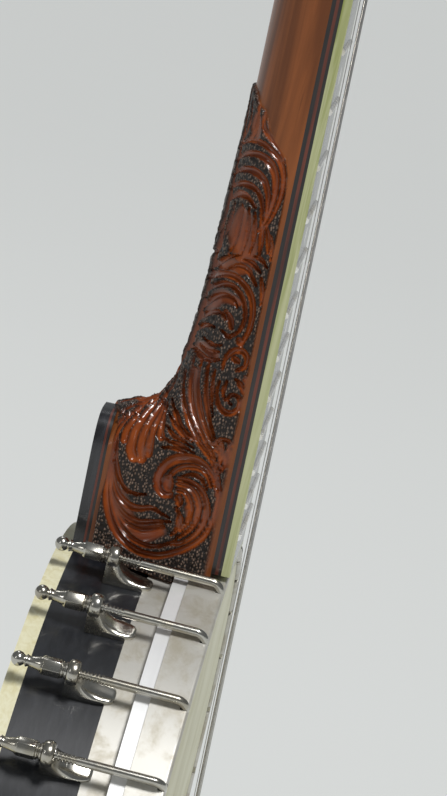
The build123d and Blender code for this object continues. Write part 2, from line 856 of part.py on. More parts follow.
# ---- four planetary tuners: sleeve and housing, post, button ----
tuner_places = [("tuner_" + str(4 - k), across, up) for k, (across, up) in enumerate(tuner_spots)]
housing_front = -(peghead_back + back_overlay)
housing_back = housing_front - housing_depth


def tuner_plane(across, up):
    """Plane at a tuner's centre on the peghead's face, normal to the front."""
    return Plane(origin=peghead_start + Vector(across, 0, 0) + pegs_along * up, x_dir=(1, 0, 0), z_dir=-pegs_deep)


for name, across, up in tuner_places:
    face = tuner_plane(across, up)
    with BuildPart() as housing:
        with BuildSketch(face.offset(housing_front)):
            Circle(housing_radius)
        extrude(amount=-housing_depth)
        chamfer(housing.edges(), length=0.8)
        with BuildSketch(face.offset(housing_front)):
            Circle(sleeve_radius)
        extrude(amount=-housing_front - 0.2)
        with BuildSketch(face):
            Circle(post_radius + running)
        extrude(amount=housing_front - 4.0, mode=Mode.SUBTRACT)
        with BuildSketch(face.offset(housing_back)):
            Circle(button_stem + running)
        extrude(amount=6.0, mode=Mode.SUBTRACT)
    save(housing.part, name + "_housing")
    with BuildPart() as post:
        with BuildSketch(face.offset(housing_front - 3.5)):
            Circle(post_radius)
        extrude(amount=post_height - housing_front + 3.5)
        chamfer(post.edges(), length=0.4)
        with Locations(face.offset(post_height - 5.0)):
            Torus(post_radius + 0.9, 1.6, mode=Mode.SUBTRACT)
    save(post.part, name + "_post")
    with BuildPart() as button:
        with BuildSketch(face.offset(housing_back + 5.5)):
            Circle(button_stem)
        extrude(amount=-(5.5 + button_gap + 6.0))
        with BuildSketch(face.offset(housing_back - button_gap)):
            Circle(button_stem + 1.4)
        extrude(amount=-5.0)
        with BuildSketch(face.offset(housing_back - button_gap - 4.0)):
            SlotOverall(button_length, button_width)
        extrude(amount=-button_depth)
        fillet(button.faces().sort_by(Axis((0, 0, 0), tuple(pegs_deep)))[-1].edges(), radius=2.0)
    save(button.part, name + "_button")

# ---- tuner bushings: flat nuts on the peghead's face ----
with BuildPart() as tuner_bushings:
    for name, across, up in tuner_places:
        with BuildSketch(tuner_plane(across, up)):
            RegularPolygon(6.6, 6)
            Circle(post_radius + 2 * running, mode=Mode.SUBTRACT)
        extrude(amount=2.0)
save(tuner_bushings.part, "tuner_bushings")

# ---- drone-string tuner in the side of the neck ----
fifth_station = fifth_fret + fifth_above_fret
fifth_reach = 9.0
fifth_across = -(bass_edge(fifth_station) + fifth_reach)
fifth_top = 6.0
fifth_bottom = 18.0
fifth_axis_deep = 12.0
fifth_plane = Plane(origin=neck_point(fifth_across, fifth_station, 0), x_dir=(1, 0, 0), z_dir=-neck_deep)
worm_plane = Plane(
    origin=neck_point(fifth_across, fifth_station, fifth_axis_deep + 2.0),
    x_dir=neck_along,
    z_dir=(-1, 0, 0),
)
with BuildPart() as fifth_housing:
    with BuildSketch(fifth_plane.offset(-fifth_top)):
        Circle(7.2)
    extrude(amount=fifth_top - fifth_bottom)
    chamfer(fifth_housing.edges(), length=0.6)
    with BuildSketch(worm_plane):
        Circle(4.4)
    extrude(amount=12.0)
    with BuildSketch(
        Plane(neck_point(fifth_across, fifth_station, fifth_axis_deep), x_dir=neck_along, z_dir=(1, 0, 0))
    ):
        Circle(3.9)
    extrude(amount=fifth_reach + 14.0)
    with BuildSketch(fifth_plane.offset(-fifth_top + 1.0)):
        Circle(fifth_post_radius + running)
    extrude(amount=-6.0, mode=Mode.SUBTRACT)
    with BuildSketch(worm_plane.offset(13.0)):
        Circle(1.8 + running)
    extrude(amount=-6.0, mode=Mode.SUBTRACT)
save(fifth_housing.part, "fifth_housing")

with BuildPart() as fifth_post:
    with BuildSketch(fifth_plane.offset(-fifth_top - 4.5)):
        Circle(fifth_post_radius)
    extrude(amount=fifth_top + 4.5 + fifth_post_reach)
    chamfer(fifth_post.edges(), length=0.4)
    with Locations(fifth_plane.offset(fifth_post_reach - 4.0)):
        Torus(fifth_post_radius + 0.8, 1.4, mode=Mode.SUBTRACT)
save(fifth_post.part, "fifth_post")

with BuildPart() as fifth_button:
    with BuildSketch(worm_plane.offset(7.5)):
        Circle(1.8)
    extrude(amount=10.0)
    with BuildSketch(worm_plane.offset(12.0 + button_gap)):
        Circle(3.0)
    extrude(amount=4.0)
    with BuildSketch(worm_plane.offset(16.0)):
        SlotOverall(18.0, 12.0)
    extrude(amount=8.0)
    fillet(fifth_button.faces().sort_by(Axis.X)[0].edges(), radius=2.0)
save(fifth_button.part, "fifth_button")


# ---- strings: straight runs from tailpiece to bridge, nut and post ----
def string_run(points, radius):
    """Taut string through its points, as rods with ball joints at the bends."""
    with BuildPart() as run:
        for start, end in zip(points, points[1:]):
            line = end - start
            with Locations(Plane(origin=start, z_dir=line.normalized())):
                Cylinder(radius, line.length, align=(Align.CENTER, Align.CENTER, Align.MIN))
        with Locations(*[Location(point) for point in points[1:-1]]):
            Sphere(radius)
    return run


def tail_point(place, radius):
    """Where a string leaves its pin on the tailpiece."""
    deep = -tail_rise - tail_plate - radius
    return Vector(place * tail_spacing, deep, pot_centre - tail_front - 2.9)


winding_height = post_height - 5.0
for number, place, radius in zip((5, 4, 3, 2, 1), range(-2, 3), string_radii):
    saddle = Vector(place * string_spacing, -bridge_height - radius, string_low)
    if number == 5:
        rest = neck_point(fifth_nut_across, fifth_nut_at, -fifth_nut_height - radius)
        goal = neck_point(fifth_across, fifth_station, 4.0 - fifth_post_reach)
        keep = fifth_post_radius
    else:
        name, across, up = [entry for entry in tuner_places if entry[0] == "tuner_" + str(number)][0]
        rest = neck_point((place - 0.5) * nut_spacing, nut_place, -nut_height - radius)
        goal = tuner_plane(across, up).offset(winding_height).origin
        keep = post_radius
    approach = goal - rest
    stop = goal - approach.normalized() * (keep + radius)
    run = string_run([tail_point(place, radius), saddle, rest, stop], radius)
    save(run.part, "string_" + str(number))
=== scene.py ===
import json
import math

import bpy
import numpy as np
from bpy.props import FloatProperty, FloatVectorProperty, IntProperty, PointerProperty
from mathutils import Matrix, Vector


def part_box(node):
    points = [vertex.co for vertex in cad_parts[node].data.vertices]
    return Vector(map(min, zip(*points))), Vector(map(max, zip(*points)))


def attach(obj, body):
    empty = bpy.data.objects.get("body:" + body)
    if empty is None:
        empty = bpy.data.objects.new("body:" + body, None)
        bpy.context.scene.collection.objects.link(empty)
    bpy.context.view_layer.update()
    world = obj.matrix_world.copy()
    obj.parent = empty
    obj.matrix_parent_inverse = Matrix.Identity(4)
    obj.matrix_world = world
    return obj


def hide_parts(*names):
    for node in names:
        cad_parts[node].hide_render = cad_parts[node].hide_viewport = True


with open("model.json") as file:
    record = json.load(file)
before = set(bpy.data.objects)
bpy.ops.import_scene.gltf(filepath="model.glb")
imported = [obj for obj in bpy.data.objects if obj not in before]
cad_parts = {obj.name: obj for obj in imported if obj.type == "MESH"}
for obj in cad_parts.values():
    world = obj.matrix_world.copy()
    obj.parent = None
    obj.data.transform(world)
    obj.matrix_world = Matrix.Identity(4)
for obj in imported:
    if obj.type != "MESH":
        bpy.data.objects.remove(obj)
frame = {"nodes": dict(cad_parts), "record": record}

bl_info = {
    "name": "Open-Back Banjo",
    "version": (1, 0, 0),
    "blender": (4, 5, 0),
    "location": "View3D > Sidebar > Banjo",
    "description": "Carved neck, bracket hardware, finishes and studio of a five-string banjo",
    "category": "Add Mesh",
}

MM = 0.001


def radius_of(box):
    """Radius of a round part that stands on edge, from its box, in millimetres."""
    low, high = box
    return (high.x - low.x) / 2 / MM


# ---- places taken from the frame, in millimetres ----
rim_low, rim_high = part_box("rim")
POT_CENTRE = (rim_high.z + rim_low.z) / 2 / MM
HOOP_RADIUS = radius_of(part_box("tension_hoop"))
SKIRT_RADIUS = radius_of(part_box("rim_skirt"))
FLESH_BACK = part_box("flesh_hoop")[1].y / MM
HOOK_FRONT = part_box("bracket_hooks")[0].y / MM
HOOK_CIRCLE = HOOP_RADIUS + 2.8

# ---- the neck's own directions: across, along and deep ----
NECK_ANGLE = math.radians(1.75)
PEGHEAD_ANGLE = math.radians(13.75)
NECK_START = np.array([0.0, -1.5, POT_CENTRE + HOOP_RADIUS])
ALONG = np.array([0.0, math.sin(NECK_ANGLE), math.cos(NECK_ANGLE)])
DEEP = np.array([0.0, math.cos(NECK_ANGLE), -math.sin(NECK_ANGLE)])
ACROSS = np.array([1.0, 0.0, 0.0])

# ---- neck sizes, in millimetres ----
WOOD_TOP = 6.7
HEEL_WOOD = 51.6
NUT_PLACE = 508.56
FIFTH_FRET = 336.5
END_HALF = 23.8
BASS_HALF = 23.2
NUT_HALF = 16.0
SHOULDER_LENGTH = 30.0
HEEL_TIP = 45.9
CARVING_END = 171.0
PEGHEAD_CUT = 496.0
FOOT_OVERRUN = 8.0
FOOT_BLEND = 6.0
FAN_END = 95.0
TONGUE_START = 31.5
BACK_ROUNDING = 1.05

# Depth of the neck's back below the fingerboard's face, at stations up the neck.
BACK_PROFILE = np.array([
    (45.2, 56.5), (45.9, 51.6), (48.2, 46.8), (52.6, 39.5), (56.5, 36.4), (60.8, 34.3),
    (65.4, 32.8), (72.9, 31.0), (81.4, 29.7), (90.5, 28.9), (100.0, 28.3), (130.0, 27.8),
    (171.0, 27.3), (240.0, 27.0), (496.0, 21.6),
])

# ---- the neck's grids: rows up the heel, columns down a side and across ----
HEEL_ROWS = 452
FOOT_ROWS = 150
FAN_ROWS = 122
SIDE_COLUMNS = 100
BACK_COLUMNS = 3
TOP_COLUMNS = 6
SHAFT_COLUMNS = 48

# ---- bracket hardware sizes, in millimetres ----
HOOK_BEND = 3.4
HOOK_INWARD = 6.6
SHOE_BACK = 40.5
SHOE_FRONT_OF_COLLAR = 36.5
SHOE_HALF = 4.2
SHOE_FOOT = -8.85
SHOE_SQUARENESS = 4.6


# ======================================================================
# Settings a user would change
# ======================================================================
def length_setting(name, description, default):
    """A setting in metres, shown as a length."""
    return FloatProperty(
        name=name, description=description, default=default, unit="LENGTH", precision=4)


def colour_setting(name, description, default):
    """A colour setting."""
    return FloatVectorProperty(
        name=name, description=description, default=default, subtype="COLOR", size=3)


class StudioSettings(bpy.types.PropertyGroup):
    """The plain studio round the banjo."""

    floor_colour: colour_setting("Floor colour", "Pale paper of the floor and backdrop", (0.80, 0.815, 0.80))
    key_power: FloatProperty(
        name="Key light", description="Power of the large soft box above the peghead",
        default=4.0, unit="POWER")
    fill_power: FloatProperty(
        name="Fill light", description="Power of the soft box beside the camera",
        default=2.5, unit="POWER")
    overhead: FloatProperty(
        name="Overhead light", description="Strength of the wide even light on the whole floor",
        default=2.1)


class NeckSettings(bpy.types.PropertyGroup):
    """The carved neck."""

    relief: length_setting("Relief", "Depth of the carving's ground below the surface", 2.3 * MM)
    border: length_setting("Border", "Width of the plain strip round the carving", 1.5 * MM)
    punch: length_setting("Punch", "Pitch of the stippled ground", 1.15 * MM)
    wood: colour_setting("Wood", "Stained mahogany", (0.215, 0.062, 0.015))
    antique: colour_setting("Antiquing", "Dark stain left in the hollows", (0.011, 0.007, 0.0055))


class HardwareSettings(bpy.types.PropertyGroup):
    """Hooks, nuts and shoes round the pot."""

    count: IntProperty(name="Places", description="Bracket places round the pot", default=30, min=4)
    rod: length_setting("Hook rod", "Radius of a hook's rod", 1.55 * MM)
    pitch: length_setting("Thread pitch", "Pitch of the hook's thread", 1.2 * MM)
    plating: colour_setting("Plating", "Nickel plate", (0.54, 0.525, 0.48))


# ======================================================================
# Shader maths
# ======================================================================
# Places of a mix node's colour sockets, which share their names with its other kinds.
MIX_SHARE = 0
MIX_FIRST = 6
MIX_SECOND = 7
MIX_RESULT = 2


class Value:
    """One socket of a shader tree, for use in sums and soft steps."""

    def __init__(self, finish, socket):
        self.finish = finish
        self.socket = socket

    def _math(self, operation, first, second):
        return self.finish.node(
            "ShaderNodeMath", {"operation": operation}, [first, second]).out("Value")

    def __add__(self, other):
        return self._math("ADD", self, other)

    def __sub__(self, other):
        return self._math("SUBTRACT", self, other)

    def __rsub__(self, other):
        return self._math("SUBTRACT", other, self)

    def __mul__(self, other):
        return self._math("MULTIPLY", self, other)

    __radd__ = __add__
    __rmul__ = __mul__

    def smooth(self, low, high):
        """0 below low, 1 above high, with a soft step between."""
        step = self.finish.node(
            "ShaderNodeMapRange", {"interpolation_type": "SMOOTHSTEP", "clamp": True},
            {"Value": self, "From Min": low, "From Max": high})
        return step.out("Result")


class Made:
    """A node just made, whose outputs are read by name or by place."""

    def __init__(self, finish, node):
        self.finish = finish
        self.node = node

    def out(self, name):
        return Value(self.finish, self.node.outputs[name])


class Finish:
    """A procedural material in the making."""

    def __init__(self, name, **surface):
        self.material = bpy.data.materials.new(name)
        self.material.use_nodes = True
        self.tree = self.material.node_tree
        self.surface = self.tree.nodes["Principled BSDF"]
        self.finish(**surface)

    def node(self, kind, settings=None, inputs=None):
        """Any node: its type, its settings, then the values or links of its sockets."""
        node = self.tree.nodes.new(kind)
        for key, value in (settings or {}).items():
            if key == "stops":
                self._stops(node.color_ramp, value)
            else:
                setattr(node, key, value)
        pairs = inputs.items() if isinstance(inputs, dict) else enumerate(inputs or [])
        for key, value in pairs:
            if isinstance(value, Value):
                self.tree.links.new(value.socket, node.inputs[key])
            elif value is not None:
                node.inputs[key].default_value = value
        return Made(self, node)

    @staticmethod
    def _stops(ramp, stops):
        while len(ramp.elements) > 1:
            ramp.elements.remove(ramp.elements[-1])
        ramp.elements[0].position = stops[0][0]
        ramp.elements[0].color = (*stops[0][1], 1)
        for place, colour in stops[1:]:
            ramp.elements.new(place).color = (*colour, 1)

    def place(self, scale=(1, 1, 1), turn=(0, 0, 0)):
        """Object coordinates, stretched and turned."""
        spot = self.node("ShaderNodeTexCoord").out("Object")
        return self.node(
            "ShaderNodeMapping", {}, {"Vector": spot, "Scale": scale, "Rotation": turn}).out("Vector")

    def noise(self, where, scale, detail=4.0, rough=0.55, twist=0.0):
        """Soft cloud of values about one half."""
        return self.node("ShaderNodeTexNoise", {}, {
            "Vector": where, "Scale": scale, "Detail": detail, "Roughness": rough, "Distortion": twist,
        }).out("Fac")

    def attribute(self, name):
        """A value carried by the mesh's own vertices."""
        return self.node("ShaderNodeAttribute", {"attribute_name": name}).out("Fac")

    def mix(self, share, first, second):
        """First colour turned into the second by a share."""
        first, second = (c if isinstance(c, Value) else (*c, 1) for c in (first, second))
        sockets = {MIX_SHARE: share, MIX_FIRST: first, MIX_SECOND: second}
        node = self.node("ShaderNodeMix", {"data_type": "RGBA", "clamp_factor": True}, sockets)
        return node.out(MIX_RESULT)

    def bump(self, height, distance, strength=1.0, under=None):
        """Small relief from a height, over an optional relief below it."""
        inputs = {"Height": height, "Distance": distance, "Strength": strength}
        if under is not None:
            inputs["Normal"] = under
        return self.node("ShaderNodeBump", {}, inputs).out("Normal")

    def finish(self, **sockets):
        """Sets the surface's own values, or links them to others, and gives the material."""
        for name, value in sockets.items():
            target = self.surface.inputs[name.replace("_", " ").title().replace("Ior", "IOR")]
            if isinstance(value, Value):
                self.tree.links.new(value.socket, target)
            else:
                target.default_value = value
        return self.material


# ======================================================================
# Finishes
# ======================================================================
WINDING_PITCH = 0.28 * MM


def shaded(colour, share):
    """A colour times one share, or times a share for each of its parts."""
    shares = share if isinstance(share, tuple) else (share,) * 3
    return tuple(min(part * by, 1) for part, by in zip(colour, shares))


def grained(name, noise, band, tones, rough, relief, **surface):
    """Two tones parted by one noise, which also roughens and raises the surface.

    The noise is (stretch, scale, detail, ...), the band its soft step, rough a start and a share, and
    relief (distance, strength).
    """
    finish = Finish(name, **surface)
    stretch, *cloud = noise
    grain = finish.noise(finish.place(scale=stretch), *cloud)
    colour = finish.mix(grain.smooth(*band), *tones)
    worn = rough[0] + grain * rough[1]
    return finish.finish(base_color=colour, roughness=worn, normal=finish.bump(grain, *relief))


def mahogany(name, wood, antique=None):
    """Stained mahogany with long grain and open pores; the mesh says where it is carved and hollow."""
    finish = Finish(name, roughness=0.3, specular_ior_level=0.32, coat_weight=0.12, coat_roughness=0.08)
    along = finish.place(scale=(1, 1, 0.06), turn=(NECK_ANGLE, 0, 0))
    figure = finish.noise(along, 130.0, 6.0, 0.6, 0.6)
    bands = finish.noise(finish.place(scale=(1, 1, 0.12)), 22.0, 3.0, 0.5, 0.4)
    pores = finish.noise(along, 620.0, 3.0, 0.7)
    colour = finish.mix(figure.smooth(0.3, 0.72), shaded(wood, 0.62), shaded(wood, (1.45, 1.5, 1.5)))
    colour = finish.mix(bands.smooth(0.35, 0.7) * 0.5, colour, wood)
    colour = finish.mix(pores.smooth(0.6, 0.75) * 0.45, colour, shaded(wood, 0.3))
    rough = 0.28 + figure * 0.12
    normal = finish.bump(pores * 0.5 + figure * 0.5, 0.00008, 0.45)
    if antique is not None:
        carved = finish.attribute("carved")
        recess = finish.attribute("recess")
        ground = finish.attribute("ground")
        stain = finish.noise(finish.place(), 70.0, 3.0).smooth(0.3, 0.7)
        red = finish.mix(stain, (0.165, 0.024, 0.005), (0.330, 0.068, 0.010))
        colour = finish.mix(carved * (0.55 + 0.35 * figure), colour, red)
        colour = finish.mix(recess, colour, antique)
        dots = finish.node("ShaderNodeTexVoronoi", {"feature": "F1"}, {
            "Vector": finish.place(scale=(1, 1, 0.72)), "Scale": 1.0 / (0.92 * MM), "Randomness": 0.85,
        }).out("Distance")
        mounds = 1.0 - dots.smooth(0.14, 0.60)
        colour = finish.mix(ground, colour, antique)
        patches = finish.noise(finish.place(), 240.0, 2.0).smooth(0.3, 0.55)
        # The pale tan on the punch mounds of the ground is a painted highlight on the mounds' tops, over the
        # dark stain.
        colour = finish.mix(ground * mounds * (0.55 + 0.45 * patches), colour, (0.25, 0.165, 0.12))
        rough = rough * (1.0 - carved) + carved * (0.19 + recess * 0.14) + ground * 0.2
        finish.finish(coat_weight=0.12 + (carved - ground) * 0.16)
        normal = finish.bump(mounds * ground, 0.0006, 1.0, under=normal)
    return finish.finish(base_color=colour, roughness=rough, normal=normal)


def nickel(name, plate, rough=0.17, cloudy=0.65, metal=1.0):
    """Nickel plate with faint yellow tarnish, fine scratches and dulled patches."""
    finish = Finish(name, metallic=metal, roughness=rough)
    cloud = finish.noise(finish.place(), 85.0, 6.0, 0.65, 0.3)
    fine = finish.noise(finish.place(), 900.0, 3.0, 0.6)
    colour = finish.mix(cloud.smooth(0.42, 0.70) * cloudy, plate, shaded(plate, (0.66, 0.60, 0.47)))
    dull = rough + cloud.smooth(0.45, 0.8) * 0.14 + fine * 0.06
    normal = finish.bump(fine, 0.00002, 0.35)
    return finish.finish(base_color=colour, roughness=dull, normal=normal)


def ivoroid(name, pale=(0.56, 0.57, 0.34), dark=(0.27, 0.30, 0.075)):
    """Aged grained plastic in pale and dark lines."""
    finish = Finish(name, roughness=0.33, coat_weight=0.15, coat_roughness=0.2)
    lines = finish.noise(finish.place(scale=(1, 1, 0.035)), 420.0, 4.0, 0.6, 0.8)
    wide = finish.noise(finish.place(scale=(1, 1, 0.06)), 150.0, 3.0)
    colour = finish.mix(lines.smooth(0.3, 0.7), pale, dark)
    colour = finish.mix(wide.smooth(0.35, 0.65) * 0.55, colour, pale)
    rough = 0.30 + lines * 0.12
    normal = finish.bump(lines, 0.00004, 0.4)
    return finish.finish(base_color=colour, roughness=rough, normal=normal)


def black_wood(
        name, base=(0.010, 0.010, 0.012), glint=(0.035, 0.036, 0.042), rough=0.22, stretch=(1, 1, 0.05)):
    """Black wood or veneer with faint grain under a polished surface; its lighter grain lines carry a
    painted glint.
    """
    finish = Finish(name, roughness=rough, coat_weight=0.5, coat_roughness=0.12)
    grain = finish.noise(finish.place(scale=stretch), 300.0, 5.0, 0.65, 0.5)
    cloud = finish.noise(finish.place(), 25.0, 3.0)
    # The grain lines are the wood's own; their lighter, bluish glint tone is a painted glint on the polish.
    colour = finish.mix(grain.smooth(0.4, 0.75), base, glint)
    worn = rough + grain * 0.10 + cloud.smooth(0.5, 0.8) * 0.10
    normal = finish.bump(grain, 0.00005, 0.45)
    return finish.finish(base_color=colour, roughness=worn, normal=normal)


def skin(name):
    """Cream head skin, faintly mottled and a little darker in clouds."""
    finish = Finish(name, roughness=0.42)
    cloud = finish.noise(finish.place(), 18.0, 5.0, 0.6, 0.4)
    fibre = finish.noise(finish.place(scale=(1, 1, 0.4)), 500.0, 4.0, 0.7)
    colour = finish.mix(cloud.smooth(0.3, 0.75), (0.74, 0.72, 0.52), (0.58, 0.55, 0.34))
    colour = finish.mix(fibre.smooth(0.55, 0.8) * 0.35, colour, (0.46, 0.42, 0.24))
    normal = finish.bump(fibre, 0.00006, 0.5)
    return finish.finish(base_color=colour, roughness=0.36 + cloud * 0.15, normal=normal)


def pearl(name, lustre=1.0):
    """Mother-of-pearl with soft clouds of pink and green."""
    finish = Finish(name, roughness=0.18, coat_weight=0.6, coat_roughness=0.08)
    cloud = finish.noise(finish.place(), 95.0, 3.0, 0.6, 2.2)
    colour = finish.node("ShaderNodeValToRGB", {"stops": [
        (0.25, (0.62 * lustre, 0.60 * lustre, 0.52 * lustre)), (0.45, (0.78, 0.66, 0.64)),
        (0.6, (0.62, 0.76, 0.68)), (0.8, (0.86, 0.85, 0.78)),
    ]}, {"Fac": cloud}).out("Color")
    normal = finish.bump(cloud, 0.0001, 0.2)
    return finish.finish(base_color=colour, roughness=0.14 + cloud * 0.12, normal=normal)


def turned_steel(name, colour=(0.50, 0.50, 0.51), rough=0.28):
    """Bright steel with fine drawing marks."""
    return grained(
        name, ((1, 1, 1), 800.0, 4.0, 0.7), (0.45, 0.8), (colour, shaded(colour, 0.7)), (rough, 0.12),
        (0.00002, 0.4), metallic=1.0, roughness=rough)


def wound_steel(name):
    """Wire wound round a core: close turns along the string, with painted shade in the grooves between them.
    """
    finish = Finish(name, metallic=1.0, roughness=0.3)
    spot = finish.node("ShaderNodeSeparateXYZ", {}, {
        "Vector": finish.node("ShaderNodeTexCoord").out("Object")}).out("Z")
    phase = spot * (2 * math.pi / WINDING_PITCH)
    turns = finish.node("ShaderNodeMath", {"operation": "SINE"}, [phase]).out("Value")
    # The dark tone between the turns is painted shade in the grooves between the wires.
    colour = finish.mix(turns.smooth(-0.9, 0.2), (0.10, 0.09, 0.08), (0.52, 0.49, 0.44))
    normal = finish.bump(turns, 0.0001, 0.5)
    return finish.finish(base_color=colour, roughness=0.26 + turns * 0.04, normal=normal)


def aluminium(name):
    """Satin aluminium band with fine lines run round it."""
    finish = Finish(name, metallic=0.35, roughness=0.4)
    lines = finish.noise(finish.place(scale=(0.15, 6, 0.15)), 260.0, 4.0, 0.6)
    cloud = finish.noise(finish.place(), 45.0, 4.0)
    colour = finish.mix(cloud.smooth(0.35, 0.75) * 0.6, (0.88, 0.88, 0.88), (0.72, 0.72, 0.70))
    normal = finish.bump(lines, 0.00003, 0.4)
    return finish.finish(base_color=colour, roughness=0.34 + lines * 0.16, normal=normal)


FINISHES = {
    "neck_mahogany": lambda tag: mahogany(tag, tuple(bpy.context.scene.banjo_neck.wood)),
    "maple": lambda tag: grained(
        tag, ((0.06, 1, 1), 220.0, 5.0, 0.6, 0.5), (0.3, 0.75), ((0.42, 0.24, 0.10), (0.60, 0.39, 0.19)),
        (0.32, 0.1), (0.00005, 0.4), roughness=0.35, coat_weight=0.2, coat_roughness=0.2),
    "ebonised_rim": lambda tag: black_wood(
        tag, (0.009, 0.010, 0.013), (0.018, 0.020, 0.025), 0.30, (0.3, 1, 0.3)),
    "ebony": black_wood,
    "black_veneer": lambda tag: black_wood(tag, (0.007, 0.006, 0.006), (0.025, 0.020, 0.018), 0.3),
    "dyed_red_veneer": lambda tag: grained(
        tag, ((1, 1, 0.05), 420.0, 4.0, 0.6), (0.3, 0.7), ((0.060, 0.012, 0.006), (0.15, 0.032, 0.016)),
        (0.32, 0.1), (0.00004, 0.4), roughness=0.35, coat_weight=0.3, coat_roughness=0.15),
    "nickel_plate": lambda tag: nickel(tag, tuple(bpy.context.scene.banjo_hardware.plating)),
    "fret_wire": lambda tag: nickel(tag, (0.90, 0.90, 0.88), 0.2, metal=0.5),
    "aluminium_hoop": aluminium,
    "skin_head": skin,
    "ivoroid": ivoroid,
    "bone": lambda tag: grained(
        tag, ((0.1, 1, 1), 500.0, 4.0), (0.35, 0.75), ((0.72, 0.66, 0.50), (0.60, 0.52, 0.36)),
        (0.26, 0.1), (0.00003, 0.3), roughness=0.3, coat_weight=0.2, coat_roughness=0.2),
    "pearl": pearl,
    "pearl_button": lambda tag: pearl(tag, 1.15),
    "plain_steel": turned_steel,
    "string_steel": lambda tag: turned_steel(tag, (0.50, 0.49, 0.48), 0.25),
    "cream_binding": lambda tag: ivoroid(tag, (0.80, 0.77, 0.55), (0.66, 0.60, 0.34)),
    "satin_nickel": lambda tag: nickel(tag, (0.60, 0.585, 0.54), 0.44, cloudy=0.7, metal=0.5),
    "wound_steel": wound_steel,
}
# Nodes whose look differs from the rest of their slot.
OWN_FINISHES = {
    "rim_binding": "cream_binding", "tension_hoop": "satin_nickel", "rim_skirt": "satin_nickel",
    "string_4": "wound_steel",
}
made_finishes = {}


def finish_named(slot):
    """The finish of a material slot, made once."""
    if slot not in made_finishes:
        made_finishes[slot] = FINISHES[slot](slot)
    return made_finishes[slot]


# ======================================================================
# Small modelling helpers
# ======================================================================
def deselect():
    """Nothing selected and nothing in edit mode."""
    if bpy.context.object and bpy.context.object.mode != "OBJECT":
        bpy.ops.object.mode_set(mode="OBJECT")
    bpy.ops.object.select_all(action="DESELECT")


def only(piece):
    """Select one object and make it active."""
    deselect()
    piece.select_set(True)
    bpy.context.view_layer.objects.active = piece


def open_mesh(piece=None):
    """Edit a piece's mesh, or the active one's, with every face selected."""
    if piece:
        only(piece)
    bpy.ops.object.mode_set(mode="EDIT")
    bpy.ops.mesh.select_mode(type="FACE")
    bpy.ops.mesh.select_all(action="SELECT")


def close_mesh():
    """Turn every face outwards and leave the mesh."""
    bpy.ops.mesh.select_all(action="SELECT")
    bpy.ops.mesh.normals_make_consistent(inside=False)
    bpy.ops.object.mode_set(mode="OBJECT")


def draw_up(height):
    """Extrude the selected faces by a height along +Z."""
    bpy.ops.mesh.extrude_region_move(TRANSFORM_OT_translate={"value": (0, 0, height)})


def dress(piece, body, slot, *nodes, finish=None):
    """Finish a piece, tie it to its body and let it stand for CAD nodes."""
    piece.data.materials.clear()
    piece.data.materials.append(finish or finish_named(slot))
    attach(piece, body)
    if nodes:
        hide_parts(*nodes)


def turned(profile, segments):
    """A closed turned piece along +Z from (height, radius) rings, in millimetres; left active."""
    rings = [(height * MM, radius * MM) for height, radius in profile]
    deselect()
    bpy.ops.mesh.primitive_circle_add(
        vertices=segments, radius=rings[0][1], fill_type="NGON", location=(0, 0, rings[0][0]))
    bpy.ops.object.transform_apply(location=True)
    open_mesh()
    for (low, small), (high, wide) in zip(rings, rings[1:]):
        draw_up(high - low)
        bpy.ops.transform.resize(value=(wide / small, wide / small, 1), center_override=(0, 0, high))
    close_mesh()
    return bpy.context.object


def joined(pieces, name):
    """Several objects made one, with its name."""
    deselect()
    for piece in pieces:
        piece.select_set(True)
    bpy.context.view_layer.objects.active = pieces[0]
    bpy.ops.object.join()
    piece = bpy.context.object
    piece.name = piece.data.name = name
    return piece


def settle(piece, matrix):
    """Move a finished shape to its place, with the place in its mesh."""
    piece.data.transform(matrix)
    piece.data.update()
    return piece


def bracket_frames():
    """Placing matrices on the hook circle: x along it, y back, z outwards."""
    settings = bpy.context.scene.banjo_hardware
    frames = []
    for place in range(1, settings.count):
        if place == settings.count // 2:
            continue
        turn = 2 * math.pi * place / settings.count
        out = Vector((math.sin(turn), 0, math.cos(turn)))
        side = Vector((math.cos(turn), 0, -math.sin(turn)))
        matrix = Matrix((side, Vector((0, 1, 0)), out)).transposed().to_4x4()
        matrix.translation = Vector((0, 0, POT_CENTRE * MM)) + out * HOOK_CIRCLE * MM
        frames.append(matrix)
    return frames


def repeat_round_pot(model, name):
    """One copy of a model at each bracket place, joined as one piece."""
    copies = []
    for matrix in bracket_frames():
        copy = model.copy()
        copy.data = model.data.copy()
        bpy.context.scene.collection.objects.link(copy)
        settle(copy, matrix)
        copies.append(copy)
    bpy.data.objects.remove(model)
    return joined(copies, name)


def smooth(piece, angle):
    """Smooth shading with edges kept where faces turn sharply."""
    only(piece)
    bpy.ops.object.shade_smooth_by_angle(angle=math.radians(angle))


# ======================================================================
# The neck's surface, as formulas
# ======================================================================
def ease(low, high, value):
    """0 below low, 1 above high, with a smooth step between."""
    share = np.clip((value - low) / (high - low), 0, 1)
    return share * share * (3 - 2 * share)


def back_depth(along):
    """Depth of the wood's back below the board's face."""
    return np.minimum(np.interp(along, BACK_PROFILE[:, 0], BACK_PROFILE[:, 1]), HEEL_WOOD)


def treble_half(along):
    """Half width of the neck on the treble side."""
    return END_HALF + (NUT_HALF - END_HALF) * along / NUT_PLACE


def bass_half(along):
    """Half width on the bass side, with the shoulder above the fifth fret."""
    below = END_HALF + (BASS_HALF - END_HALF) * along / FIFTH_FRET
    share = ease(FIFTH_FRET + 6, FIFTH_FRET + 6 + SHOULDER_LENGTH, along)
    return below + (treble_half(along) - below) * share


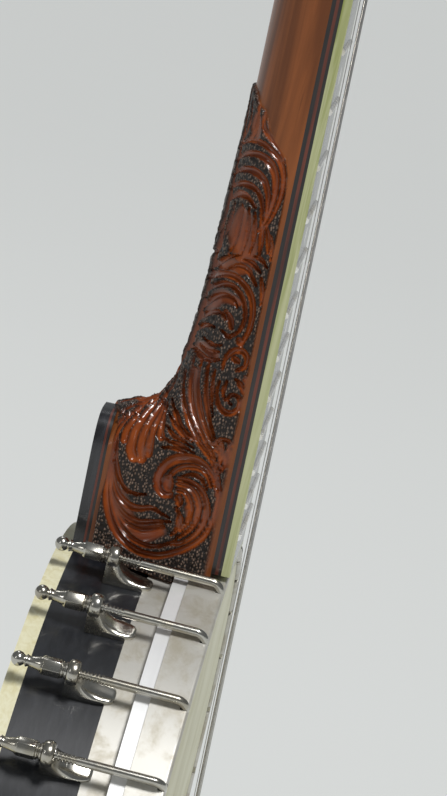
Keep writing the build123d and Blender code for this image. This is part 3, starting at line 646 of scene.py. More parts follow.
def fullness(along, deep):
    """Share of the half width that the section keeps at a depth: a tongue at the heel, an oval above."""
    drop = np.clip((deep - WOOD_TOP) / (back_depth(along) - WOOD_TOP), 0, 1)
    above = ease(HEEL_TIP, FAN_END, along)
    oval = (1 - drop ** (2.2 + 0.1 * above)) ** (1 / (1.3 + above))
    tongue = 1 - 0.27 * drop - 0.10 * drop * drop
    length = HEEL_TIP - TONGUE_START
    kept = np.sqrt(np.clip(1 - (np.clip(along - TONGUE_START, 0, length) / length) ** 2, 0, 1))
    return np.where(along < HEEL_TIP, oval + (tongue - oval) * kept, oval)


def neck_points(across, along, deep):
    """Points in the object's frame, in metres, from places on the neck in millimetres."""
    spread = [np.asarray(v, float)[..., None] for v in np.broadcast_arrays(across, along, deep)]
    return (NECK_START + spread[0] * ACROSS + spread[1] * ALONG + spread[2] * DEEP) * MM


def foot_station(across, deep):
    """Station where the heel's foot meets the pot: the hoop in front, the rim behind."""
    radius = np.where(deep < FLESH_BACK + 2.0, HOOP_RADIUS + 0.5, SKIRT_RADIUS + 0.1)
    return np.sqrt(radius ** 2 - across ** 2) - HOOP_RADIUS + deep * math.sin(NECK_ANGLE)


# ======================================================================
# The carving: strands of an acanthus scroll on the heel's side
# ======================================================================
def strand(route, widths, height=0.95):
    """A strand's route of (depth, station) points, its half widths at the start, at the middle and at
    the end, and its height as a share of the relief."""
    return route, widths, height


STRANDS = [
    # great scroll round the heel: outer rim and the strands nested inside it
    strand([(39, 52.6), (44, 47.2), (47.2, 43), (48.9, 38.6), (49.4, 32), (48.9, 23), (46.8, 14),
            (43.2, 7.6), (38.4, 3.6), (33, 1.8), (27, 1.9), (21.5, 4.2), (16, 8), (11.9, 12.6), (9.9, 18),
            (9.2, 24), (9.6, 30), (11.2, 35), (14.2, 40)], (0.7, 1.35, 1.0)),
    strand([(48.6, 33), (47.9, 24), (45.6, 15.5), (41.8, 9.4), (37, 5.8), (31.5, 4.6), (26.5, 5.4),
            (22, 8.2), (19.6, 11.4)], (0.6, 1.3, 0.5)),
    strand([(47.9, 26), (46.5, 19), (43.4, 13.2), (39.2, 10), (34.5, 9), (30, 10.2),
            (26, 12.6)], (0.6, 1.35, 0.5)),
    strand([(48.9, 29), (47.6, 22), (44.6, 16.3), (40.4, 12.8), (35.6, 11.9), (31, 13.2), (26.4, 14.6),
            (23.8, 15.2)], (0.6, 1.5, 0.5)),
    strand([(48.6, 31), (47.2, 25), (44.2, 19.6), (40, 16.9), (35.6, 16.8), (31.2, 18.2), (27.6, 17.2),
            (24.6, 16.4)], (0.6, 1.6, 0.4)),
    strand([(48.2, 38), (47.4, 31.5), (45.4, 26), (42.2, 22.4), (38.4, 21.4),
            (34.2, 22.4)], (0.8, 1.3, 0.4)),
    # bowl under the nested strands, so that their grooves stay shallow
    strand([(47, 30), (45, 19), (40, 11.5), (33, 8.5), (27, 11.5)], (1.5, 5.2, 2.5), 0.5),
    # inner volute: band, rolled end
    strand([(10.8, 31), (13.2, 35.2), (17, 38.2), (21.5, 38.9), (26.4, 37.2), (29.8, 33.8), (31.2, 29.6),
            (30.6, 25.8), (28.2, 23.9), (25.9, 24.6)], (0.9, 1.9, 1.2)),
    strand([(12.6, 31), (15.4, 35), (19.4, 36.2), (23.8, 35), (26.8, 32), (28, 29)], (0.6, 1.1, 1.0)),
    strand([(27.9, 28.8), (27.4, 26.6)], (2.3, 2.4, 1.9), 1.0),
    strand([(13.8, 29.6), (16.4, 32.8), (20, 33.6), (23.2, 32)], (0.5, 0.9, 0.4), 0.8),
    # fan of fingers inside the scroll
    strand([(24.2, 30.6), (20.6, 30.8), (16.6, 29.4), (13.6, 26), (12.2, 21.5), (12.9, 16.5), (15.2, 12),
            (19, 8.6), (24, 6.8)], (0.9, 1.5, 0.6)),
    strand([(23.8, 28.8), (20.6, 28.8), (17.4, 26.8), (15.4, 23), (15.1, 18.6), (16.6, 14.4),
            (19.4, 11)], (0.9, 1.5, 0.6)),
    strand([(23.6, 26.8), (21, 26.4), (18.8, 23.8), (17.8, 20.2), (18.2, 16.4),
            (20.2, 12.8)], (0.9, 1.35, 0.6)),
    strand([(22.8, 24.2), (21.8, 21.4)], (1.3, 1.5, 0.5), 1.0),
    strand([(22.8, 20.6), (20.9, 17.4), (20.9, 13.6), (22.9, 10.4)], (0.5, 1.35, 0.4)),
    strand([(22, 29), (17.6, 25.6), (16.4, 19.6), (18.2, 13)], (1.5, 3.6, 1.5), 0.5),
    # hanging lobes
    strand([(35.2, 57), (37.8, 51.6), (40.8, 46.4), (42.6, 41.6), (42.6, 36.6),
            (41.2, 34)], (0.7, 1.6, 1.9)),
    strand([(34.2, 56.4), (36.6, 50), (38.9, 44.3), (39.6, 38.5), (38.6, 34.4)], (0.6, 1.5, 2.0)),
    strand([(33.8, 55), (35.2, 49.5), (36.4, 43.6), (36.6, 38.4), (36.6, 36.6)], (0.5, 1.3, 1.7)),
    strand([(32.9, 54), (33.6, 49), (33.6, 45), (33, 43.4)], (0.5, 1.1, 1.5)),
    strand([(40.8, 50), (43.6, 45.6), (45.4, 41.8), (45.6, 38.4)], (0.5, 1.1, 1.3)),
    strand([(37.2, 50), (40.2, 42), (39.6, 36)], (1.5, 4.0, 2.6), 0.5),
    # long stems down from the leaf knot
    strand([(28.6, 66), (28.4, 61), (27, 55.4), (23.8, 49.8), (19.4, 45), (15, 40.6), (11.6, 36),
            (9.6, 31)], (1.0, 1.2, 0.5)),
    strand([(26.6, 72), (26.6, 65), (25.4, 58.4), (22.7, 52.4), (18.8, 47.3), (14.8, 42.6),
            (11.6, 38)], (0.8, 1.35, 0.4)),
    strand([(24, 73), (24, 66), (22.8, 59.4), (20.4, 53.6), (17, 48.4), (13.6, 44.2)], (0.8, 1.3, 0.4)),
    strand([(21.4, 73), (21, 66), (19.8, 59.6), (17.8, 54), (15.2, 48.8), (13.2, 45.6)], (0.7, 1.15, 0.4)),
    strand([(19, 71), (18.8, 65), (18, 60), (16.6, 55)], (0.6, 0.9, 0.3), 0.8),
    strand([(25.5, 68), (23.4, 58), (18.6, 49.4), (13.6, 42)], (1.5, 3.6, 1.0), 0.55),
    strand([(31, 66), (32, 60), (34, 55.4), (37.6, 51.2)], (0.6, 1.1, 0.4)),
    strand([(33, 62.6), (34.8, 57.4), (38.6, 52), (43, 47.6), (47.6, 44.6)], (0.9, 1.3, 0.8)),
    strand([(32.2, 66), (33.8, 60.4), (37, 54.6), (42.2, 49.8), (47.2, 46.2),
            (50.6, 43.6)], (0.7, 1.2, 0.9)),
    strand([(47.8, 44.2), (49.6, 41.8), (49.8, 39.4)], (0.6, 1.1, 0.6)),
    # small folds between the stems and the volute
    strand([(31.6, 55), (29, 50.6), (25.4, 47.4), (21.6, 45.6)], (0.5, 1.2, 0.4)),
    strand([(31.8, 50.4), (29, 47.8), (25.6, 46), (22, 44.9)], (0.4, 0.9, 0.3), 0.85),
    strand([(31.6, 46.6), (28.6, 45), (24.8, 44.2), (21, 43)], (0.4, 0.9, 0.3), 0.85),
    strand([(31.8, 43.2), (28.4, 42.6), (24.6, 42.3), (20.4, 41.2)], (0.4, 0.95, 0.3), 0.85),
    strand([(32, 39.9), (28.6, 40.8), (24.6, 40.6), (20.6, 40.2)], (0.4, 0.8, 0.3), 0.8),
    # curled leaf beside the stems
    strand([(13.4, 44), (13.9, 46.6), (12.2, 48.2), (9.9, 48.2), (8.8, 46.6)], (0.8, 0.9, 0.8)),
    strand([(9.4, 46.2), (9, 42.6), (9.8, 38.6), (11.6, 35.6)], (0.9, 1.3, 0.4)),
    strand([(12.2, 46.4), (11.2, 42.4), (11.4, 38.6)], (1.0, 1.6, 0.5), 0.8),
    # rolled curl above it
    strand([(16.8, 68), (16.9, 63.6), (15.4, 59.6), (12.6, 57.8), (9.9, 58.8), (8.8, 61.6), (9.8, 64.2),
            (12, 64.4), (13, 62.4), (11.8, 61.2)], (0.5, 1.1, 0.6)),
    strand([(14.4, 68.6), (14.9, 64.6), (13.8, 61.8)], (0.4, 0.8, 0.4), 0.8),
    strand([(11.6, 70), (9.6, 68), (8.6, 65.6)], (0.5, 1.1, 0.5)),
    strand([(9, 71.5), (8.4, 68.4)], (0.5, 0.9, 0.4), 0.85),
    # leaf knot between the two scrolls
    strand([(28.6, 75.5), (25.4, 74), (21.6, 73.6), (18.2, 75)], (0.6, 1.3, 0.5)),
    strand([(30, 71.6), (28.4, 76), (27.4, 80)], (0.6, 1.2, 0.5)),
    strand([(26, 77.2), (22.4, 76.2), (18.8, 77.6)], (0.5, 1.0, 0.4), 0.8),
    strand([(24.6, 80), (21.6, 79.2), (18.4, 80)], (0.4, 0.9, 0.4), 0.7),
    strand([(26, 76), (20, 76)], (2.5, 3.2, 2.0), 0.45),
    strand([(16.6, 72.4), (16.4, 76.2), (14.4, 79.2), (11.6, 80), (9.6, 78), (9.8, 74.8),
            (11.8, 73.2)], (0.6, 1.2, 0.7)),
    strand([(13.6, 76.8), (12.2, 76.2)], (1.1, 1.2, 0.8), 0.9),
    # middle scroll: rim, nested strands, eye
    strand([(30.2, 84), (30.2, 91), (28.8, 97.4), (25.8, 101.8), (21.6, 104), (17.4, 103.6), (13.9, 101.2),
            (11.6, 97.2), (10.7, 92), (11, 87), (12.4, 82.6)], (0.7, 1.35, 0.8)),
    strand([(28.9, 87), (28.2, 92.4), (25.9, 97.2), (22.6, 100.2), (19, 100.8), (15.8, 98.8), (13.7, 95),
            (13, 90.4), (14, 86.4), (16, 84.4)], (0.6, 1.15, 0.6)),
    strand([(27.6, 86), (26.6, 90.8), (24.4, 94.6), (21.4, 96.8), (18.2, 96.6),
            (16, 94.2)], (0.6, 1.2, 0.4)),
    strand([(28.4, 82), (27, 86.4), (24.4, 89.4), (21.2, 90.6), (19.2, 89.2)], (0.6, 1.3, 0.6)),
    strand([(28.4, 78.6), (27, 82.6), (24.6, 84.8), (21.8, 85.2)], (0.5, 1.1, 0.5)),
    strand([(19.4, 91.6), (17.4, 89.4), (16.6, 87)], (0.9, 1.3, 0.9), 0.9),
    strand([(19.4, 85), (17, 83.6), (15.2, 85)], (0.5, 0.9, 0.6), 0.85),
    strand([(13.4, 83.6), (12.4, 81.4)], (0.9, 1.1, 0.7), 0.85),
    strand([(26, 88), (22, 96), (16, 96)], (1.5, 3.2, 1.5), 0.45),
    # leaf folds between the middle scroll and the upper leaf
    strand([(29.6, 97), (29.4, 103), (27.8, 108), (25, 112.4)], (0.6, 1.3, 0.5)),
    strand([(27.9, 101.6), (25.4, 106), (22.4, 109.6), (19.2, 111.4)], (0.5, 1.1, 0.5)),
    strand([(22.2, 105.6), (19.8, 107.6), (16.6, 108), (13.8, 106.2), (11.6, 103.2)], (0.5, 1.2, 0.5)),
    strand([(17.4, 110.6), (14.2, 110.2), (11.2, 108)], (0.5, 1.1, 0.5)),
    strand([(14.4, 112.8), (11.6, 112.2), (9.4, 110)], (0.4, 0.9, 0.4), 0.85),
    strand([(10.4, 106), (9.2, 101.6), (8.9, 97)], (0.5, 0.9, 0.4), 0.85),
    strand([(24, 106), (15, 108)], (1.5, 3.4, 1.5), 0.45),
    # upper leaf: strands falling from its heart
    strand([(23.6, 128), (24.2, 122), (25, 116), (25.6, 110)], (0.6, 1.25, 0.6)),
    strand([(21.4, 128.4), (21.4, 122), (21.6, 115.8), (22.4, 110.2)], (0.6, 1.25, 0.5)),
    strand([(18.9, 128), (18.3, 122), (18.2, 116.6), (18.8, 112)], (0.6, 1.2, 0.5)),
    strand([(16.6, 127), (15.9, 121.6), (15.6, 117), (16, 113.4)], (0.5, 1.1, 0.5)),
    strand([(14.6, 126), (13.4, 121), (12.8, 116.4), (12.6, 113)], (0.5, 1.1, 0.5)),
    strand([(12.4, 124), (10.9, 119.4), (10.1, 115)], (0.5, 1.0, 0.5)),
    strand([(10.2, 121), (9.2, 117), (8.8, 112.6)], (0.4, 0.8, 0.4), 0.85),
    strand([(26.4, 124), (27.2, 117), (28, 110)], (0.5, 1.1, 0.5)),
    strand([(21, 126), (19, 118), (17, 112)], (2.0, 6.5, 4.0), 0.55),
    # upper leaf: heart and the nested arcs over it
    strand([(26.4, 127.6), (23.6, 131.4), (20.2, 131.6), (17.2, 129)], (0.6, 1.4, 0.7)),
    strand([(26.9, 131.6), (24, 134.8), (20.4, 135.6), (17, 134), (15.2, 130.6),
            (14.6, 126.6)], (0.6, 1.2, 0.6)),
    strand([(27, 136.4), (24, 139.8), (20, 140.6), (16.4, 138.8), (14.2, 134.8), (13.4, 130),
            (13.4, 125.6)], (0.6, 1.4, 0.6)),
    strand([(27, 141.4), (24, 145.2), (19.6, 146.4), (15.6, 144.9), (12.9, 141), (11.9, 135.8),
            (12.2, 130.4), (13.2, 125.4), (14.8, 121.4)], (0.6, 1.45, 0.6)),
    strand([(27.2, 145.6), (24.4, 149.6), (20.4, 150.6), (16.2, 149.2), (12.6, 146.2), (10.4, 141.8),
            (9.8, 136.4), (10.4, 131), (11.6, 126.4), (13.8, 121.2)], (0.6, 1.15, 0.6)),
    # upper leaf: tip and its side strands
    strand([(20.4, 162.6), (20.6, 158), (19.4, 155), (16, 151.8), (13, 149), (11, 146)], (0.6, 1.1, 0.4)),
    strand([(23, 162.6), (22.6, 157.6), (22.8, 153), (24.8, 149)], (0.8, 1.3, 0.6)),
    strand([(25.4, 162.4), (25, 157), (25.6, 151.6), (27, 147)], (0.6, 1.2, 0.6)),
    strand([(27, 163), (27.2, 156), (27.4, 149)], (0.5, 0.9, 0.5)),
    strand([(23, 158), (22, 152)], (2.0, 3.0, 2.0), 0.5),
    # spine of the neck's back
    strand([(51.4, 46.6), (46.2, 49.1), (39, 53.2), (34, 61.4), (30.8, 74), (28.8, 92), (28, 118),
            (27.7, 145), (27.5, 164)], (1.6, 1.9, 0.6)),
    strand([(43.4, 49.8), (38.2, 53.2), (34.8, 58), (32.3, 64), (30.3, 71), (28.8, 79), (27.8, 88),
            (27, 98), (26.5, 110), (26.2, 124), (26.2, 140), (26.4, 154), (26.8, 166)], (1.6, 2.2, 1.0)),
]

# Where the plain front border ends: depth at stations up the neck.
PLAIN_EDGE = np.array([
    (-10, 8.3), (118, 8.1), (128, 8.2), (136, 8.3), (142, 8.9), (147, 10.6), (151, 14.4), (154.4, 17.6),
    (158, 19.4), (161, 20.6), (162.5, 23.4), (166, 25.2), (170, 30.0),
])


# ---- how a strand is drawn: its widths' spread, widest place, roundness and step in millimetres ----
STRAND_SPREAD = 1.16
STRAND_WIDEST = 0.45
STRAND_ROUNDING = 0.7
STRAND_STEP = 0.6


def strand_line(route):
    """A smooth line through a route's points: rows of (depth, station)."""
    points = np.array([route[0]] + list(route) + [route[-1]], float)
    line = []
    for a, b, c, d in zip(points, points[1:], points[2:], points[3:]):
        count = max(int(np.hypot(*(c - b)) / STRAND_STEP), 2)
        t = np.linspace(0, 1, count, endpoint=False)[:, None]
        line.append(b + 0.5 * t * (c - a + t * (2 * a - 5 * b + 4 * c - d + t * (3 * (b - c) + d - a))))
    line.append(points[-1:])
    return np.concatenate(line)


def lengths_along(points):
    """Length run from the first point of each line to every point after it."""
    steps = np.linalg.norm(np.diff(points, axis=-2), axis=-1)
    return np.concatenate([np.zeros_like(steps[..., :1]), np.cumsum(steps, axis=-1)], axis=-1)


def side_points(along, deep):
    """Places on the heel's side, in millimetres across, along and deep."""
    deep = np.minimum(deep, back_depth(along) - 0.001)
    return np.stack([bass_half(along) * fullness(along, deep), along, deep], -1)


def carved_height(along, deep):
    """Height of the carving at each place, as a share of the relief: 0 at the ground, 1 at the surface."""
    places = side_points(along, deep).reshape(-1, 3)
    height = np.zeros(len(places))
    for route, (start, middle, end), top in STRANDS:
        line = strand_line(route)
        spots = side_points(line[:, 1], line[:, 0])
        run = lengths_along(spots)
        run /= run[-1]
        half = STRAND_SPREAD * np.interp(run, (0, STRAND_WIDEST, 1), (start, middle, end))
        reach = half.max()
        near = np.all((places > spots.min(0) - reach) & (places < spots.max(0) + reach), axis=1)
        chosen = places[near]
        if not len(chosen):
            continue
        gap = np.linalg.norm(chosen[:, None] - spots[None], axis=2) / half
        rib = top * np.clip(1 - gap.min(1) ** 2, 0, 1) ** STRAND_ROUNDING
        height[near] = np.maximum(height[near], rib)
    return height.reshape(np.shape(along))


# ---- the table of punch marks: its size, where reading it starts, and its seed ----
PUNCH_TABLE = 128
PUNCH_START = (64, 16)
PUNCH_SEED = 7


def punched(along, deep, pitch):
    """Uneven punch marks of the ground, from -1 to 1."""
    dice = np.random.default_rng(PUNCH_SEED).random((PUNCH_TABLE, PUNCH_TABLE))
    across, down = along / pitch + PUNCH_START[0], deep / pitch + PUNCH_START[1]
    column, row = np.floor(across).astype(int), np.floor(down).astype(int)
    u, v = ease(0, 1, across - column), ease(0, 1, down - row)

    def mark(right, below):
        return dice[(column + right) % PUNCH_TABLE, (row + below) % PUNCH_TABLE]

    near = mark(0, 0) * (1 - u) + mark(1, 0) * u
    far = mark(0, 1) * (1 - u) + mark(1, 1) * u
    return 2 * (near * (1 - v) + far * v) - 1


def blurred(field, times):
    """A field softened over its grid."""
    for _ in range(times):
        padded = np.pad(field, 1, mode="edge")
        field = (padded[1:-1, 1:-1] * 2 + padded[:-2, 1:-1] + padded[2:, 1:-1] + padded[1:-1, :-2]
                 + padded[1:-1, 2:]) / 6
    return field


def fan_stations():
    """Front and back ends of each row: (front station, back station, back depth)."""
    front = -FOOT_OVERRUN + (HEEL_TIP + FOOT_OVERRUN) * np.linspace(0, 1, FOOT_ROWS)
    rows = [(station, station, HEEL_WOOD) for station in front]
    fine = np.linspace(HEEL_TIP, FAN_END, 900)
    arc = np.concatenate([[0], np.cumsum(np.hypot(np.diff(fine), np.diff(back_depth(fine))))])
    for share in np.linspace(0, 1, FAN_ROWS)[1:]:
        back = np.interp(share * arc[-1], arc, fine)
        rows.append((HEEL_TIP + (FAN_END - HEEL_TIP) * share, back, float(back_depth(back))))
    for station in np.linspace(FAN_END, CARVING_END, HEEL_ROWS - len(rows) + 1)[1:]:
        rows.append((station, station, float(back_depth(station))))
    return np.array(rows)


def drop_shares(count):
    """Shares of the way down a side, closer together towards the back."""
    return np.sin(np.linspace(0, 1, count) * math.pi / 2) ** BACK_ROUNDING


def neck_tube(bass, treble, back_columns=0, top_columns=4):
    """Columns of a closed tube: down the bass side, over the back, up the treble side and back."""
    def between(first, last, count):
        shares = np.linspace(0, 1, count + 2)[1:-1]
        return first[:, None] + (last - first)[:, None] * shares[None, :, None]

    return np.concatenate([
        bass, between(bass[:, -1], treble[:, -1], back_columns), treble[:, ::-1],
        between(treble[:, 0], bass[:, 0], top_columns), bass[:, :1],
    ], axis=1)


def build_carved_heel():
    """The heel and lower neck: a folded grid whose sides are cut to the scroll's strands."""
    settings = bpy.context.scene.banjo_neck
    relief, border = settings.relief / MM, settings.border / MM
    rows = fan_stations()
    front, back, wood = rows[:, :1], rows[:, 1:2], rows[:, 2:]
    drop = drop_shares(SIDE_COLUMNS)
    along = front + (back - front) * drop
    deep = WOOD_TOP + (wood - WOOD_TOP) * drop
    share = np.clip((front + FOOT_OVERRUN) / (FOOT_OVERRUN + FOOT_BLEND), 0, 1)
    for _ in range(3):
        start = foot_station(bass_half(along) * fullness(along, deep), deep)
        along = np.where(front < FOOT_BLEND, start + (FOOT_BLEND - start) * share, along)
    height = carved_height(along, deep)

    # plain strips along the front edge, round the cap and at the foot
    across = bass_half(along) * fullness(along, deep)
    girth = lengths_along(np.stack([across, along, deep], -1))
    plain = 1 - ease(0.0, 0.7, deep - np.interp(along, PLAIN_EDGE[:, 0], PLAIN_EDGE[:, 1]))
    from_cap = np.where(along < HEEL_TIP - 0.4, HEEL_WOOD - deep, 9.0)
    plain = np.maximum(plain, 1 - ease(border, border + 0.7, from_cap))
    plain = np.maximum(plain, 1 - ease(0.2, 0.9, along - foot_station(across, deep)))

    # depth of the cut, and where stain stays: between the strands, on the ground, under the strips
    ground = 1 - ease(0.02, 0.22, height)
    shallow = 1 - 0.45 * ease(105.0, 160.0, along)
    marks = punched(along, girth, settings.punch / MM) * 0.11
    cut = relief * shallow * (1 - height + marks * ground) * (1 - plain)
    recess = np.clip((blurred(height * (1 - plain) + plain, 10) - height) * 3.6, 0, 1)
    recess = np.maximum(recess, (1 - ease(0.12, 0.52, height)) * 0.8) * (1 - plain)
    recess = np.maximum(recess, np.clip((blurred(plain, 3) - plain) * 2.0, 0, 1) * 0.8)

    sides = []
    for sign, half in ((-1, bass_half), (1, treble_half)):
        outer = np.stack([sign * half(along) * fullness(along, deep), along, deep], -1)
        inward = np.cross(np.gradient(outer, axis=0), np.gradient(outer, axis=1)) * sign
        length = np.linalg.norm(inward, axis=2, keepdims=True)
        inward = np.divide(inward, length, out=np.zeros_like(inward), where=length > 1e-9)
        inward[:, -1, 0] = 0
        sides.append(outer + inward * np.minimum(cut, 0.8 * np.abs(outer[..., 0]) + 0.6)[..., None])

    def wrap(field):
        """A side's values on the whole tube, with none over the back and the top."""
        over_back, over_top = (np.zeros((len(rows), count)) for count in (BACK_COLUMNS, TOP_COLUMNS))
        return np.concatenate([field, over_back, field[:, ::-1], over_top, field[:, :1]], axis=1)

    values = {"carved": 1 - plain, "recess": recess, "ground": ground * (1 - plain)}
    return folded_grid("carved_heel", neck_tube(*sides, BACK_COLUMNS, TOP_COLUMNS),
                       {key: wrap(field) for key, field in values.items()})


def folded_grid(name, tube, attributes):
    """A grid primitive rolled into a closed tube through given places on the neck."""
    count_rows, count_columns = tube.shape[:2]
    deselect()
    bpy.ops.mesh.primitive_grid_add(x_subdivisions=count_columns - 1, y_subdivisions=count_rows - 1, size=1)
    piece = bpy.context.object
    piece.name = piece.data.name = name
    mesh = piece.data
    flat = np.empty(len(mesh.vertices) * 3)
    mesh.vertices.foreach_get("co", flat)
    flat = flat.reshape(-1, 3)
    column = np.rint((flat[:, 0] + 0.5) * (count_columns - 1)).astype(int)
    row = np.rint((flat[:, 1] + 0.5) * (count_rows - 1)).astype(int)
    places = tube[row, column]
    mesh.vertices.foreach_set("co", neck_points(*places.T).ravel())
    for key, field in attributes.items():
        layer = mesh.attributes.new(key, "FLOAT", "POINT")
        layer.data.foreach_set("value", field[row, column].astype(np.float32))
    mesh.update()
    close_ends(piece)
    return piece


def close_ends(piece):
    """Merge the tube's seam, fill its two open ends and fan each from its middle."""
    open_mesh(piece)
    bpy.ops.mesh.remove_doubles(threshold=2e-6)
    bpy.ops.mesh.select_all(action="SELECT")
    bpy.ops.mesh.fill_holes(sides=0)
    bpy.ops.mesh.select_all(action="DESELECT")
    bpy.ops.mesh.select_face_by_sides(number=4, type="GREATER")
    bpy.ops.mesh.poke()
    close_mesh()


def build_neck_shaft():
    """The plain shaft between the carving and the peghead."""
    core = cad_copy("neck", "shaft_core")
    outline = section_of(core, PEGHEAD_CUT)
    bpy.data.objects.remove(core)
    shoulder_end = FIFTH_FRET + 40
    stations = np.concatenate([
        np.linspace(CARVING_END, FIFTH_FRET, 30), np.linspace(FIFTH_FRET, shoulder_end, 24)[1:],
        np.linspace(shoulder_end, PEGHEAD_CUT, 24)[1:],
    ])
    drop = drop_shares(SHAFT_COLUMNS)
    along = np.repeat(stations[:, None], SHAFT_COLUMNS, axis=1)
    deep = WOOD_TOP + (back_depth(along) - WOOD_TOP) * drop
    share = ease(200.0, PEGHEAD_CUT, along)
    far_depth = WOOD_TOP + (outline[:, 1].max() - WOOD_TOP) * drop
    sides = []
    for sign, half in ((-1, bass_half), (1, treble_half)):
        side = outline[outline[:, 0] * sign > -0.01]
        order = np.argsort(-side[:, 1])
        wide = np.maximum.accumulate(side[order, 0] * sign)
        far = np.interp(far_depth, side[order[::-1], 1], wide[::-1])
        kept = fullness(along, deep) * half(along)
        width = kept + (far / far[0] * half(along) - kept) * share
        width[:, -1] = 0
        sides.append(np.stack([sign * width, along, deep], -1))
    return folded_grid("neck_shaft", neck_tube(*sides), {})


def cad_copy(node, name):
    """A merged copy of a CAD node's mesh, for work on its shape."""
    deselect()
    piece = bpy.data.objects.new(name, frame["nodes"][node].data.copy())
    bpy.context.scene.collection.objects.link(piece)
    piece.data.materials.clear()
    open_mesh(piece)
    bpy.ops.mesh.remove_doubles(threshold=1e-6)
    bpy.ops.object.mode_set(mode="OBJECT")
    return piece


def kept_above(piece, station, closed):
    """A piece with everything below a station up the neck cut away."""
    open_mesh(piece)
    bpy.ops.mesh.bisect(
        plane_co=neck_points(0, station, 0), plane_no=ALONG, clear_inner=True, use_fill=closed,
        threshold=1e-6)
    bpy.ops.object.mode_set(mode="OBJECT")
    return piece


def section_of(piece, station):
    """Outline of a piece at a station up the neck: rows of (across, deep) in millimetres."""
    vertices = kept_above(piece, station, False).data.vertices
    spots = np.empty(len(vertices) * 3)
    vertices.foreach_get("co", spots)
    offset = spots.reshape(-1, 3) / MM - NECK_START
    on_cut = np.abs(offset @ ALONG - station) < 0.01
    outline = np.stack([offset[on_cut] @ ACROSS, offset[on_cut] @ DEEP], -1)
    return outline[outline[:, 1] > WOOD_TOP - 0.05]


def build_peghead():
    """The neck's upper end: the nut's end of the shaft and the peghead core."""
    return kept_above(cad_copy("neck", "peghead_core"), PEGHEAD_CUT, True)


# ======================================================================
# Bracket hardware
# ======================================================================
LAID_BACK = Matrix.Rotation(math.radians(-90), 4, "X")
LAID_FORWARD = Matrix.Rotation(math.radians(90), 4, "X")

# (height, radius) rings of a shoe's collar, a nut's round body and its hexagon.
COLLAR_RINGS = [
    (0.0, 3.3), (0.15, 3.75), (0.55, 4.15), (1.2, 4.38), (2.0, 4.45), (2.8, 4.38), (3.45, 4.15),
    (3.85, 3.75), (4.0, 3.2),
]
NUT_RINGS = [
    (0.0, 2.7), (0.15, 3.05), (0.75, 3.05), (0.9, 2.7), (1.05, 2.45), (1.25, 2.45), (1.4, 2.75),
    (1.55, 2.95), (1.95, 2.95), (2.1, 2.7), (2.3, 2.5), (8.6, 2.7), (9.4, 2.45), (10.4, 2.15), (11.6, 1.9),
    (12.8, 1.78), (13.4, 1.86), (13.75, 2.1), (14.0, 2.14), (14.2, 1.95), (14.35, 1.6), (14.6, 1.55),
    (14.9, 1.75), (15.3, 2.13), (15.8, 2.42), (16.4, 2.58), (17.0, 2.58), (17.6, 2.42), (18.2, 2.06),
    (18.7, 1.55), (19.05, 0.95), (19.2, 0.35),
]
HEXAGON_RINGS = [(1.95, 2.65), (2.35, 3.3), (8.2, 3.3), (9.0, 2.75)]
# Levels of a shoe outwards from the rim: height, half width and length forward of its back.
SHOE_LEVELS = [
    (SHOE_FOOT, SHOE_HALF, 15.9), (-8.5, SHOE_HALF, 16.6), (-7.9, SHOE_HALF, 17.0), (-7.3, SHOE_HALF, 17.0),
    (-6.9, SHOE_HALF, 16.6), (-6.7, SHOE_HALF, 15.6), (-6.5, SHOE_HALF, 13.4), (-6.2, SHOE_HALF, 11.4),
    (-5.7, SHOE_HALF, 9.5), (-5.0, SHOE_HALF, 7.9), (-4.1, 4.15, 6.6), (-3.0, 4.1, 5.6), (-1.9, 4.0, 4.9),
    (-0.9, 3.8, 4.4), (0.0, 3.5, 4.1),
]


def build_hooks():
    """Round rods with cut threads, bent over the hoop at the front."""
    settings = bpy.context.scene.banjo_hardware
    rod = settings.rod / MM
    pitch = settings.pitch / MM
    crest, root = rod + 0.05, rod - 0.5
    start = SHOE_BACK + 9.6
    thread_end = SHOE_FRONT_OF_COLLAR - 7.0
    rings = [(-start, rod * 0.8), (-start + 0.4, rod)]
    at = -start + 0.6
    while at < -thread_end:
        rings += [(at + pitch * share, radius) for share, radius in (
            (0, crest), (0.36, crest), (0.48, root), (0.84, root))]
        at += pitch
    end = -(HOOK_FRONT + rod + HOOK_BEND)
    piece = turned(rings + [(at, rod), (end, rod)], 14)
    open_mesh(piece)
    bpy.ops.mesh.select_all(action="DESELECT")
    bpy.ops.object.mode_set(mode="OBJECT")
    max(piece.data.polygons, key=lambda face: face.center.z).select = True
    bpy.ops.object.mode_set(mode="EDIT")
    bpy.ops.mesh.spin(
        steps=10, angle=math.radians(-90), center=(0, -HOOK_BEND * MM, end * MM), axis=(1, 0, 0))
    bpy.ops.mesh.extrude_region_move(
        TRANSFORM_OT_translate={"value": (0, -(HOOK_INWARD - HOOK_BEND - 0.3) * MM, 0)})
    close_mesh()
    smooth(settle(piece, LAID_FORWARD), 50)
    return repeat_round_pot(piece, "threaded_hooks")


